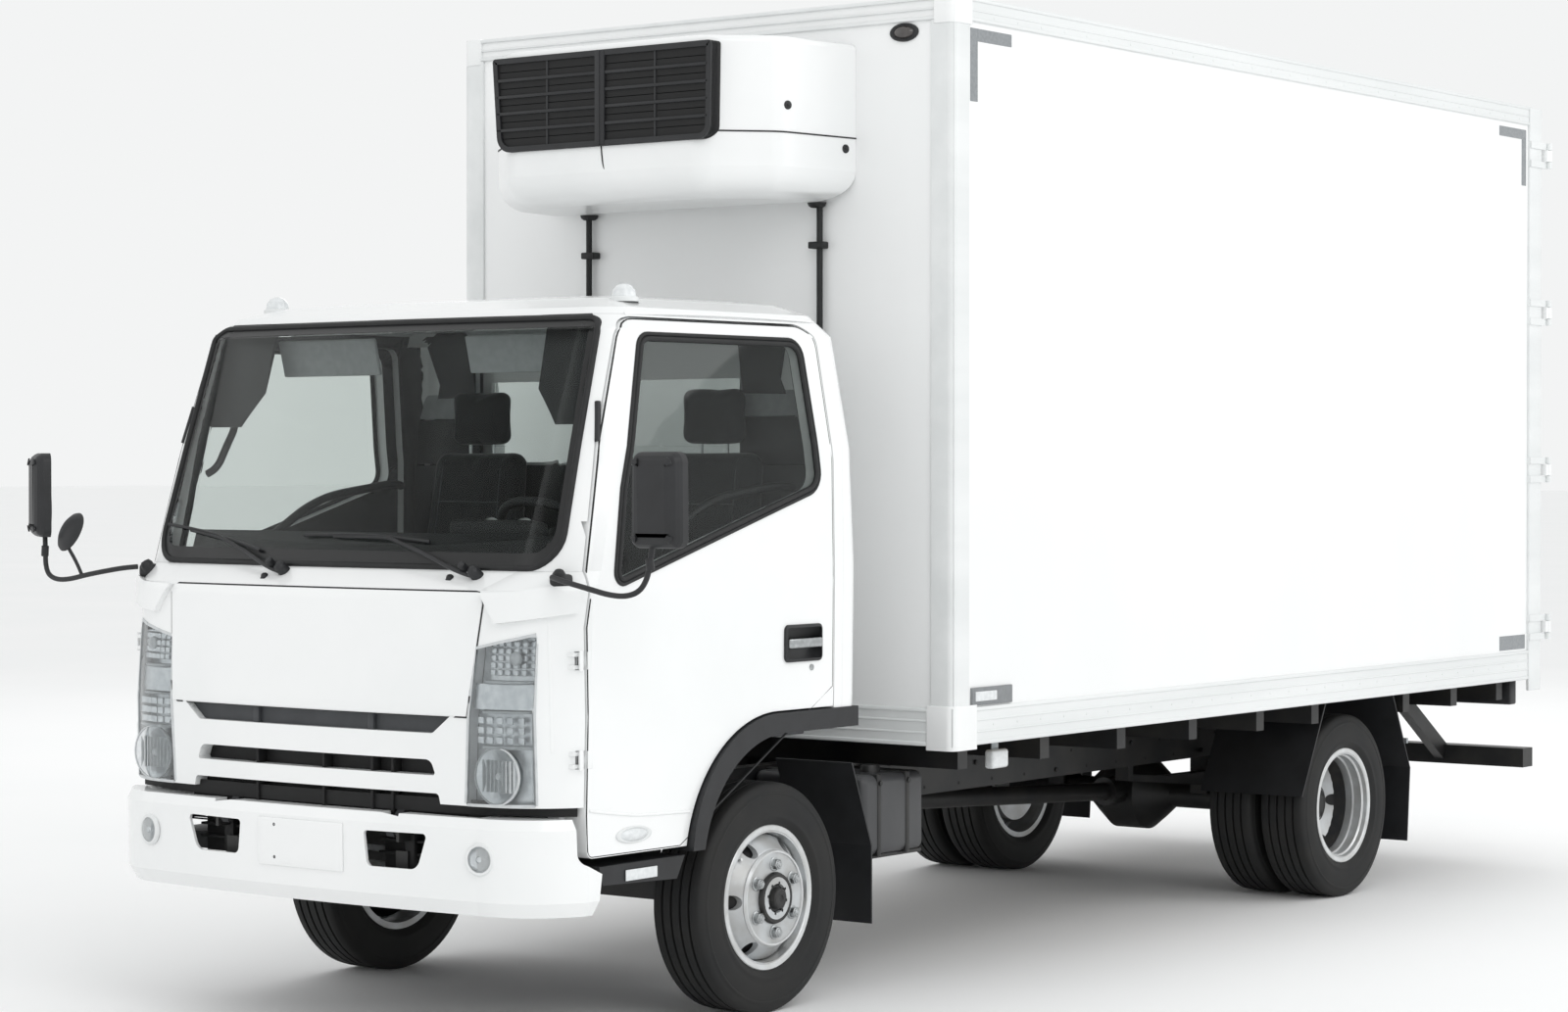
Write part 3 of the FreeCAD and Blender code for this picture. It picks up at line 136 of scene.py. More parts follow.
def makeMaterials():
    made = {}

    def keep(name, *args, **sockets):
        made[name] = newMaterial(name, *args, **sockets)
        return made[name]

    # stoved enamel on pressed steel: gloss white under a clear coat, faint orange peel 4 mm across
    m = keep("stovedEnamel", "#F4F5F5", Roughness=0.26, Coat_Weight=0.5, Coat_Roughness=0.08)
    mottle(m, "#ECEEEE", 1.6, 0.6)
    grain(m, 250, 0.00002)
    # gel-coated glass fibre sheet on foam panels: whiter and flatter, with a slow waviness
    m = keep("gelcoatSheet", "#F6F7F7", Roughness=0.34, Coat_Weight=0.25, Coat_Roughness=0.15)
    mottle(m, "#EEEFEF", 0.9, 0.7, stretch=(1, 1, 0.4))
    grain(m, 2.2, 0.0006)
    # powder-coated aluminium extrusion: satin, a shade greyer than the sheets
    m = keep("coatedExtrusion", "#E9EBEB", Roughness=0.36, Coat_Weight=0.2)
    mottle(m, "#DADDDD", 6, 0.6, stretch=(1, 0.1, 1))
    grain(m, 700, 0.00001)
    # galvanised and painted pressed steel of the rear frame and hinges
    m = keep("galvanisedSteel", "#AEB3B5", Metallic=0.85, Roughness=0.42)
    mottle(m, "#8F9598", 45, 0.8, detail=2)
    # sprayed chassis enamel: black, semi-matt, with road dust lying on it
    m = keep("chassisEnamel", "#17181A", Roughness=0.46)
    mottle(m, "#2B2A28", 7, 0.8)
    grain(m, 180, 0.00005)
    # grey iron casting, painted once: coarse sand skin
    m = keep("castIron", "#2A2B2D", Metallic=0.35, Roughness=0.6)
    mottle(m, "#3D3A37", 20, 0.7)
    grain(m, 320, 0.0002)
    # grained ABS moulding, near black
    m = keep("grainedAbs", "#1B1C1E", Roughness=0.5)
    mottle(m, "#26272A", 12, 0.6)
    grain(m, 900, 0.00005, "ShaderNodeTexVoronoi", "Distance")
    # grey polypropylene of steps and inner trims
    m = keep("trimPolypropylene", "#3A3C3F", Roughness=0.58)
    mottle(m, "#46484B", 9, 0.6)
    grain(m, 800, 0.00006, "ShaderNodeTexVoronoi", "Distance")
    # carbon-filled tyre rubber, dusted a little paler on the walls
    m = keep("tyreRubber", "#141516", Roughness=0.74)
    mottle(m, "#201F1D", 8, 0.6)
    grain(m, 500, 0.00006)
    # extruded EPDM of window seals and hoses
    m = keep("epdmSeal", "#151617", Roughness=0.62)
    mottle(m, "#202122", 30, 0.6)
    # silver wheel enamel on pressed steel: fine flake, dulled by brake dust
    m = keep("wheelEnamel", "#C7CACC", Metallic=0.45, Roughness=0.36)
    mottle(m, "#A9A8A5", 11, 0.7)
    grain(m, 300, 0.00003)
    # laminated window glass: clear with a grey-green edge
    m = keep("laminatedGlass", "#F0F4F2", Roughness=0.0, IOR=1.52, Transmission_Weight=1.0,
             Specular_Tint=linear("#3A3C3C"))
    mottle(m, "#E9EEEC", 0.8, 0.4)
    # toughened door glass, tinted grey in the melt
    m = keep("tintedGlass", "#D8DDDB", Roughness=0.0, IOR=1.52, Transmission_Weight=1.0,
             Specular_Tint=linear("#4A4C4C"))
    mottle(m, "#CDD3D1", 0.8, 0.4)
    # polycarbonate lamp lens
    m = keep("lampLens", "#F2F5F6", Roughness=0.03, IOR=1.58, Transmission_Weight=1.0)
    mottle(m, "#E8ECEE", 6, 0.5)
    # dyed acrylic of the tail lamps and indicators
    m = keep("redAcrylic", "#A3151A", Roughness=0.12, IOR=1.49, Coat_Weight=0.5)
    mottle(m, "#7C0F14", 60, 0.5)
    grain(m, 260, 0.0004, "ShaderNodeTexVoronoi", "Distance")
    m = keep("amberAcrylic", "#C46A1C", Roughness=0.12, IOR=1.49, Coat_Weight=0.5)
    mottle(m, "#A04E10", 60, 0.5)
    grain(m, 260, 0.0004, "ShaderNodeTexVoronoi", "Distance")
    m = keep("clearAcrylic", "#E6E9EA", Roughness=0.14, IOR=1.49, Coat_Weight=0.6)
    mottle(m, "#CCD0D2", 60, 0.5)
    grain(m, 260, 0.0004, "ShaderNodeTexVoronoi", "Distance")
    # vacuum-metallised reflector
    m = keep("metallisedReflector", "#F1F3F4", Metallic=0.75, Roughness=0.30)
    mottle(m, "#D2D6D9", 35, 0.7)
    # zinc-plated and stainless small parts
    m = keep("zincPlate", "#B9BCBD", Metallic=1.0, Roughness=0.3)
    mottle(m, "#8E9192", 50, 0.6)
    # float glass mirror, silvered behind
    m = keep("silveredGlass", "#E3E6E8", Metallic=1.0, Roughness=0.03)
    mottle(m, "#DADEE0", 3, 0.4)
    # the same enamel made lighter for the rolled edges and rings: a painted highlight where they catch the
    # light
    m = keep("wheelEnamelLight", "#D9DBDC", Metallic=0.45, Roughness=0.30)
    mottle(m, "#BDBDBB", 16, 0.6)
    grain(m, 300, 0.00003)
    # ceramic frit fired onto the edge of the windscreen: dead black
    m = keep("ceramicBorder", "#0F1011", Roughness=0.35)
    mottle(m, "#161718", 40, 0.5)
    # lacquered lamp bezel behind the lens, mid grey
    m = keep("lampBezel", "#CFD2D3", Roughness=0.38, Metallic=0.2)
    mottle(m, "#BBBFC1", 30, 0.6)
    # nylon holder of the side markers
    m = keep("markerGrey", "#85888A", Roughness=0.5)
    mottle(m, "#787B7D", 40, 0.6)
    grain(m, 800, 0.00004)
    # smoked acrylic of the high front lamps
    m = keep("smokedAcrylic", "#4A4644", Roughness=0.12, IOR=1.49, Coat_Weight=0.5)
    mottle(m, "#383534", 60, 0.5)
    # blown ABS shell of the cooling unit: white, softly glossy
    m = keep("unitMoulding", "#F3F4F4", Roughness=0.3, Coat_Weight=0.3, Coat_Roughness=0.1)
    mottle(m, "#E9EBEB", 1.5, 0.6)
    grain(m, 500, 0.00002)
    # dead black sheet for painted shade, set behind openings, gaps and holes where only shade is seen
    m = keep("ductBlack", "#0B0B0C", Roughness=0.7)
    mottle(m, "#121213", 25, 0.6)
    # tank enamel: black with a slight sheen
    m = keep("tankEnamel", "#3C3D3F", Roughness=0.42)
    mottle(m, "#48484A", 6, 0.7, stretch=(1, 1, 0.4))
    grain(m, 160, 0.00005)
    # polyester sewing thread, lighter than the cloth
    m = keep("seamThread", "#55585C", Roughness=0.8)
    mottle(m, "#45484B", 200, 0.7)
    # woven polyester seat cloth, charcoal
    m = keep("seatCloth", "#1B1D1F", Roughness=0.85, Sheen_Weight=0.35, Sheen_Roughness=0.4)
    mottle(m, "#26292C", 14, 0.7)
    grain(m, 420, 0.00012, "ShaderNodeTexVoronoi", "Distance")
    # soft-touch PVC skin of the dashboard
    m = keep("dashVinyl", "#16181A", Roughness=0.6)
    mottle(m, "#1E2022", 10, 0.6)
    grain(m, 700, 0.0001, "ShaderNodeTexVoronoi", "Distance")
    # needle-punched headliner felt, light grey
    m = keep("headlinerFelt", "#B7BABC", Roughness=0.9, Sheen_Weight=0.3)
    mottle(m, "#A8ABAD", 40, 0.7)
    grain(m, 900, 0.0002)
    # ribbed rubber floor mat
    m = keep("floorRubber", "#26272A", Roughness=0.7)
    mottle(m, "#333436", 9, 0.7)
    grain(m, 60, 0.001, "ShaderNodeTexWave", "Fac")
    # resin-faced plywood deck of the load space
    m = keep("deckPly", "#7D7468", Roughness=0.6)
    mottle(m, "#696056", 5, 0.8, stretch=(1, 0.15, 1))
    grain(m, 220, 0.0003, "ShaderNodeTexVoronoi", "Distance")
    # glass-bead retroreflective tape, grey by day
    m = keep("beadTape", "#8B8F92", Roughness=0.35, Coat_Weight=0.4)
    mottle(m, "#7A7E81", 90, 0.7)
    grain(m, 300, 0.0002, "ShaderNodeTexVoronoi", "Distance")
    return made


materials = makeMaterials()
print("materials made:", len(materials))


def dress(piece, name):
    piece.data.materials.clear()
    piece.data.materials.append(materials[name])
    return piece


# the finish of each CAD node
nodeFinish = {
    "stovedEnamel": ["cab_roof", "cab_back_panel", "cab_front_panel", "left_cab_door", "right_cab_door",
                     "cab_side_frames", "front_bumper", "refrigeration_unit"],
    "gelcoatSheet": ["box_side_walls", "box_front_wall", "box_roof", "left_rear_door", "right_rear_door"],
    "coatedExtrusion": ["box_edge_rails", "box_rear_frame"],
    "deckPly": ["box_floor"],
    "chassisEnamel": ["chassis_frame", "box_crossbearers", "front_axle", "rear_axle", "leaf_springs",
                      "drive_shaft", "left_knuckle", "right_knuckle", "underrun_guard", "fuel_tank",
                      "battery_box", "exhaust"],
    "castIron": ["engine_block"],
    "grainedAbs": ["rear_mudguards", "front_mudguards", "cab_steps", "arch_flares", "door_mirrors"],
    "tyreRubber": ["front_left_tyre", "front_right_tyre", "rear_left_tyres", "rear_right_tyres"],
    "wheelEnamel": ["front_left_wheel", "front_right_wheel", "rear_left_wheels", "rear_right_wheels"],
    "laminatedGlass": ["windscreen"],
    "tintedGlass": ["rear_window", "left_door_glass", "right_door_glass"],
    "lampLens": ["headlamps"],
    "redAcrylic": ["tail_lamps"],
    "floorRubber": ["cab_floor"],
    "dashVinyl": ["dashboard", "steering_wheel"],
    "seatCloth": ["driver_seat", "passenger_seat"],
    "epdmSeal": ["unit_hoses"],
}
for finish, names in nodeFinish.items():
    for name in names:
        dress(nodes[name], finish)
print("nodes dressed:", sum(len(names) for names in nodeFinish.values()))


# ways of modelling
def onlyPick(piece):
    for other in bpy.context.selected_objects:
        other.select_set(False)
    piece.select_set(True)
    bpy.context.view_layer.objects.active = piece
    return piece


def settle(piece):
    # its place, turn and size go into its mesh
    onlyPick(piece)
    bpy.ops.object.transform_apply(location=True, rotation=True, scale=True)
    return piece


def pickFaces(piece, test):
    # edit mode, with only the faces that pass the test by their middle and normal
    onlyPick(piece)
    bpy.context.tool_settings.mesh_select_mode = (False, False, True)
    mesh = piece.data
    mesh.vertices.foreach_set("select", [False] * len(mesh.vertices))
    mesh.edges.foreach_set("select", [False] * len(mesh.edges))
    mesh.polygons.foreach_set("select", [bool(test(p.center, p.normal)) for p in mesh.polygons])
    bpy.ops.object.mode_set(mode="EDIT")


def pickAll(piece):
    onlyPick(piece)
    bpy.ops.object.mode_set(mode="EDIT")
    bpy.ops.mesh.select_all(action="SELECT")


def leave():
    bpy.ops.object.mode_set(mode="OBJECT")


def applyModifier(piece, kind, **settings):
    onlyPick(piece)
    made = piece.modifiers.new(kind.lower(), kind)
    for name, value in settings.items():
        setattr(made, name, value)
    bpy.ops.object.modifier_apply(modifier=made.name)


def soften(piece, width, segments=2, smooth=35):
    # rounds the sharp edges and smooths the shading between them
    if width:
        applyModifier(piece, "BEVEL", width=width, segments=segments, limit_method="ANGLE",
                      angle_limit=math.radians(30), harden_normals=False)
    onlyPick(piece)
    bpy.ops.object.shade_smooth_by_angle(angle=math.radians(smooth))
    return piece


def block(name, low, high, width=0.002, segments=2):
    # an edge-rounded block between two corners
    middle = [(a + b) / 2 for a, b in zip(low, high)]
    bpy.ops.mesh.primitive_cube_add(size=1, location=middle, scale=[b - a for a, b in zip(low, high)])
    piece = settle(bpy.context.object)
    piece.name = name
    return soften(piece, width, segments)


def trace(name, points):
    # a chain of edges in edit mode, drawn by extruding one vertex
    bpy.ops.mesh.primitive_plane_add(size=0.001, location=points[0])
    piece = bpy.context.object
    piece.name = name
    bpy.context.tool_settings.mesh_select_mode = (True, False, False)
    bpy.ops.object.mode_set(mode="EDIT")
    bpy.ops.mesh.select_all(action="SELECT")
    bpy.ops.mesh.merge(type="CENTER")
    for here, there in zip(points, points[1:]):
        step = [b - a for a, b in zip(here, there)]
        bpy.ops.mesh.extrude_vertices_move(TRANSFORM_OT_translate={"value": step})
    return piece


def lathe(name, profile, centre, toward=(1, 0, 0), steps=48, width=0.0, closed=False):
    # turned about an axis; profile is (outward, radius) from the centre
    spots = [(out, 0, radius) for out, radius in profile]
    piece = trace(name, spots + spots[:1] if closed else spots)
    bpy.ops.mesh.select_all(action="SELECT")
    bpy.ops.mesh.spin(steps=steps, angle=2 * math.pi, center=(0, 0, 0), axis=(1, 0, 0), use_auto_merge=False)
    bpy.ops.mesh.select_all(action="SELECT")
    bpy.ops.mesh.remove_doubles(threshold=0.00005)
    bpy.ops.mesh.dissolve_degenerate(threshold=0.00005)
    bpy.ops.mesh.normals_make_consistent(inside=False)
    leave()
    settle(piece)
    turn = Vector((1, 0, 0)).rotation_difference(Vector(toward)).to_matrix().to_4x4()
    piece.data.transform(Matrix.Translation(centre) @ turn)
    return soften(piece, width)


def slab(name, points, push, width=0.0, segments=2):
    # a drawn outline, filled and pushed out to its thickness
    piece = trace(name, points)
    bpy.ops.mesh.select_all(action="SELECT")
    bpy.ops.mesh.edge_face_add()
    bpy.ops.mesh.extrude_region_move(TRANSFORM_OT_translate={"value": push})
    bpy.ops.mesh.select_all(action="SELECT")
    bpy.ops.mesh.normals_make_consistent(inside=False)
    leave()
    settle(piece)
    return soften(piece, width, segments)


def tube(name, points, radius, smooth=True, closed=False, sides=5):
    # a round bar or rubber along points, smooth or with straight runs
    line = bpy.data.curves.new(name, "CURVE")
    line.dimensions, line.bevel_depth, line.bevel_resolution = "3D", radius, sides
    line.use_fill_caps, line.resolution_u = True, 6
    spline = line.splines.new("NURBS" if smooth else "POLY")
    spline.points.add(len(points) - 1)
    for point, spot in zip(spline.points, points):
        point.co = (*spot, 1)
    if smooth:
        spline.order_u, spline.use_endpoint_u = 3, not closed
    spline.use_cyclic_u = closed
    piece = bpy.data.objects.new(name, line)
    bpy.context.scene.collection.objects.link(piece)
    onlyPick(piece)
    bpy.ops.object.convert(target="MESH")
    piece = bpy.context.object
    piece.name = name
    return soften(piece, 0)


def roundCorners(points, steps=5):
    # (u, v, radius) corners to a flat outline with arcs
    outline = []
    for index, (u, v, radius) in enumerate(points):
        here = Vector((u, v))
        before = Vector(points[index - 1][:2]) - here
        after = Vector(points[(index + 1) % len(points)][:2]) - here
        if not radius:
            outline.append((u, v))
            continue
        before.normalize()
        after.normalize()
        half = before.angle(after) / 2
        centre = here + (before + after).normalized() * radius / math.sin(half)
        first = here + before * radius / math.tan(half) - centre
        last = here + after * radius / math.tan(half) - centre
        sweep = first.angle_signed(last)
        for step in range(steps + 1):
            turned = first.copy()
            turned.rotate(Matrix.Rotation(-sweep * step / steps, 2))
            outline.append(tuple(centre + turned))
    return outline


def grown(outline, by):
    # the outline moved outwards, or inwards for a negative distance
    count = len(outline)
    turn = sum(a[0] * b[1] - b[0] * a[1] for a, b in zip(outline, outline[1:] + outline[:1]))
    way = 1 if turn > 0 else -1
    moved = []
    for index in range(count):
        before, here, after = (Vector(outline[i % count]) for i in (index - 1, index, index + 1))
        first, second = (here - before).normalized(), (after - here).normalized()
        outA, outB = Vector((first.y, -first.x)) * way, Vector((second.y, -second.x)) * way
        middle = (outA + outB).normalized()
        moved.append(tuple(here + middle * by / max(middle.dot(outA), 0.3)))
    return moved


def trimTo(outline, keepInside=True):
    # bisects what is in edit mode along each edge of a convex outline
    turn = sum(a[0] * b[1] - b[0] * a[1] for a, b in zip(outline, outline[1:] + outline[:1]))
    way = 1 if turn > 0 else -1
    for (u, v), (s, t) in zip(outline, outline[1:] + outline[:1]):
        if math.hypot(s - u, t - v) < 1e-6:
            continue
        outward = ((t - v) * way, (u - s) * way, 0)
        bpy.ops.mesh.select_all(action="SELECT")
        bpy.ops.mesh.bisect(plane_co=(u, v, 0), plane_no=outward, clear_outer=keepInside,
                            clear_inner=False, use_fill=False)


def insideOf(outline):
    turn = sum(a[0] * b[1] - b[0] * a[1] for a, b in zip(outline, outline[1:] + outline[:1]))
    way = 1 if turn > 0 else -1
    edges = list(zip(outline, outline[1:] + outline[:1]))
    return lambda p: all(((s - u) * (p.y - v) - (t - v) * (p.x - u)) * way > 0 for (u, v), (s, t) in edges)


def sheetOn(name, target, origin, yaw, outline, lift=0.0, thick=0.002, width=0.0, hole=None, cell=0.04,
            others=()):
    # a sheet cut to an outline, pressed onto CAD panels from outside and given its thickness
    us, vs = [u for u, v in outline], [v for u, v in outline]
    wide, tall = max(us) - min(us) + 0.02, max(vs) - min(vs) + 0.02
    bpy.ops.mesh.primitive_grid_add(x_subdivisions=max(2, int(wide / cell)), size=1,
                                    y_subdivisions=max(2, int(tall / cell)),
                                    location=((max(us) + min(us)) / 2, (max(vs) + min(vs)) / 2, 0))
    piece = bpy.context.object
    piece.name = name
    piece.scale = (wide, tall, 1)
    settle(piece)
    pickAll(piece)
    trimTo(outline)
    if hole:
        trimTo(hole, keepInside=False)
        leave()
        within = insideOf(hole)
        pickFaces(piece, lambda middle, normal: within(middle))
        bpy.ops.mesh.delete(type="FACE")
    leave()
    piece.rotation_euler = (math.radians(90), 0, math.radians(yaw))
    piece.location = origin
    bpy.context.view_layer.update()
    # what one panel's edge lets past, the next panel catches
    for panel in (target, *others):
        applyModifier(piece, "SHRINKWRAP", target=surface(panel), wrap_method="PROJECT",
                      use_project_z=True, use_negative_direction=True, use_positive_direction=False)
    corners = piece.data.vertices
    caught = [v for v in corners if abs(v.co.z) > 1e-6]
    for vertex in corners:
        if abs(vertex.co.z) <= 1e-6:
            # past the panel's edge: the height of the nearest point that met it
            near = min(caught, key=lambda v: (v.co.x - vertex.co.x) ** 2 + (v.co.y - vertex.co.y) ** 2)
            vertex.co.z = near.co.z - 1e-7
    for vertex in corners:
        vertex.co.z += lift
    settle(piece)
    if thick:
        applyModifier(piece, "SOLIDIFY", thickness=thick, offset=1, use_even_offset=True)
    return soften(piece, width)


def surface(panel):
    return nodes[panel] if isinstance(panel, str) else panel


def onPanel(panel, spot, way):
    # where a ray from spot meets a panel
    hit, where, normal, face = surface(panel).ray_cast(Vector(spot), Vector(way))
    return where if hit else None


def rubberOn(name, panel, outline, plane, radius, out=0.0, spacing=0.05, closed=True, lift=0.0):
    # a round rubber laid along an outline on a panel: plane "front" takes (x, z), "side" takes (y, z)
    loop = outline + outline[:1] if closed else outline
    spots = []
    for (a, b), (c, d) in zip(loop, loop[1:]):
        count = max(1, int(math.hypot(c - a, d - b) / spacing))
        for step in range(count):
            u, v = a + (c - a) * step / count, b + (d - b) * step / count
            if plane == "front":
                where = onPanel(panel, (u, out, v), (0, 1, 0))
                where = where and where + Vector((0, -lift, 0))
            else:
                where = onPanel(panel, (out, u, v), (-1 if out > 0 else 1, 0, 0))
                where = where and where + Vector((lift if out > 0 else -lift, 0, 0))
            if where:
                spots.append(tuple(where))
    return tube(name, spots, radius, smooth=False, closed=closed, sides=3)


def lining(name, source, test, thick, shift=(0, 0, 0), width=0.0):
    # a trim panel made from the faces of a CAD node that pass the test
    mesh = nodes[source].data.copy()
    piece = bpy.data.objects.new(name, mesh)
    bpy.context.scene.collection.objects.link(piece)
    pickAll(piece)
    bpy.ops.mesh.remove_doubles(threshold=0.00002)
    leave()
    pickFaces(piece, lambda middle, normal: not test(middle, normal))
    bpy.ops.mesh.delete(type="FACE")
    bpy.ops.mesh.select_all(action="SELECT")
    bpy.ops.transform.translate(value=shift)
    leave()
    applyModifier(piece, "SOLIDIFY", thickness=thick, offset=1)
    return soften(piece, width)


def copyOf(piece, name, shift=(0, 0, 0), flip=False, turn=0.0, about=None):
    # a copy with its own mesh, moved, mirrored to the other side, or turned about an axis along X
    made = piece.copy()
    made.data = piece.data.copy()
    made.name = name
    bpy.context.scene.collection.objects.link(made)
    if turn:
        made.data.transform(Matrix.Translation(about) @ Matrix.Rotation(turn, 4, "X")
                            @ Matrix.Translation(-Vector(about)))
    if flip:
        made.data.transform(Matrix.Scale(-1, 4, (1, 0, 0)))
        made.data.flip_normals()
    made.data.transform(Matrix.Translation(shift))
    return made


def together(name, pieces):
    # joins pieces of one finish into one object
    onlyPick(pieces[0])
    for other in pieces[1:]:
        other.select_set(True)
    bpy.ops.object.join()
    made = bpy.context.object
    made.name = name
    return made


def finish(piece, finishName, body, slot=None, stands=()):
    dress(piece, finishName)
    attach(piece, body)
    if stands:
        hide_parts(*stands)
    return piece


def bothSides(piece, finishName, bodies, slot=None, stands=((), ())):
    # the piece on the left and its mirror image on the right
    base = piece.name
    other = copyOf(piece, base + "_right", flip=True)
    piece.name = base + "_left"
    finish(piece, finishName, bodies[0], slot, stands[0])
    finish(other, finishName, bodies[1], slot, stands[1])
    return piece, other


# wheels and tyres
wheelPlace = {"frontX": 0.817, "rearInnerX": 0.672, "rearOuterX": 0.912, "face": 0.112, "nutCircle": 0.1111}


def shapeTyre():
    tyre = {"radius": 0.378, "grooveDepth": 0.011, "grooves": (0.054, 0.018), "grooveHalf": 0.0045}
    wall = [(0.0742, 0.2215), (0.0745, 0.2362), (0.0880, 0.2372), (0.0890, 0.2405), (0.0950, 0.2480),
            (0.1000, 0.2560), (0.1030, 0.2610), (0.1040, 0.2660), (0.1028, 0.2700), (0.1050, 0.2840),
            (0.1055, 0.3000), (0.1048, 0.3180), (0.1020, 0.3370), (0.1030, 0.3385), (0.1026, 0.3440),
            (0.1008, 0.3460), (0.0985, 0.3560), (0.0945, 0.3690), (0.0860, 0.3758), (0.0660, 0.3780)]
    tread = []
    for groove in tyre["grooves"]:
        half, top, low = tyre["grooveHalf"], tyre["radius"], tyre["radius"] - tyre["grooveDepth"]
        tread += [(groove + half, top), (groove + half - 0.001, low), (groove - half + 0.001, low),
                  (groove - half, top)]
    right = wall + tread
    section = right + [(-out, radius) for out, radius in reversed(right)]
    return lathe("tyre", section, (0, 0, 0), steps=96, closed=True)


def shapeNut():
    nut = {"across": 0.0375, "height": 0.020, "flange": 0.0235}
    bpy.ops.mesh.primitive_cylinder_add(vertices=6, radius=nut["across"] / 2, depth=nut["height"],
                                        location=(nut["height"] / 2, 0, 0), rotation=(0, math.pi / 2, 0))
    piece = settle(bpy.context.object)
    pickFaces(piece, lambda middle, normal: normal.x > 0.9)
    bpy.ops.mesh.inset(thickness=0.0035)
    bpy.ops.mesh.extrude_region_move(TRANSFORM_OT_translate={"value": (0.005, 0, 0)})
    bpy.ops.mesh.inset(thickness=0.005)
    bpy.ops.mesh.extrude_region_move(TRANSFORM_OT_translate={"value": (0.003, 0, 0)})
    leave()
    soften(piece, 0.0012, 1)
    washer = lathe("washer", [(-0.001, 0.001), (-0.001, nut["flange"]), (0.003, nut["flange"]),
                              (0.005, nut["flange"] - 0.004), (0.005, 0.001)], (0, 0, 0), steps=18)
    return together("nut", [piece, washer])


def nutRing(name, outX, axleY):
    # six nuts on the bolt circle, facing +X
    nuts = []
    for step in range(6):
        angle = math.radians(60 * step)
        spot = (outX, axleY + wheelPlace["nutCircle"] * math.sin(angle),
                place["axleZ"] + wheelPlace["nutCircle"] * math.cos(angle))
        nuts.append(copyOf(plainNut, f"{name}_{step}", spot))
    return together(name, nuts)


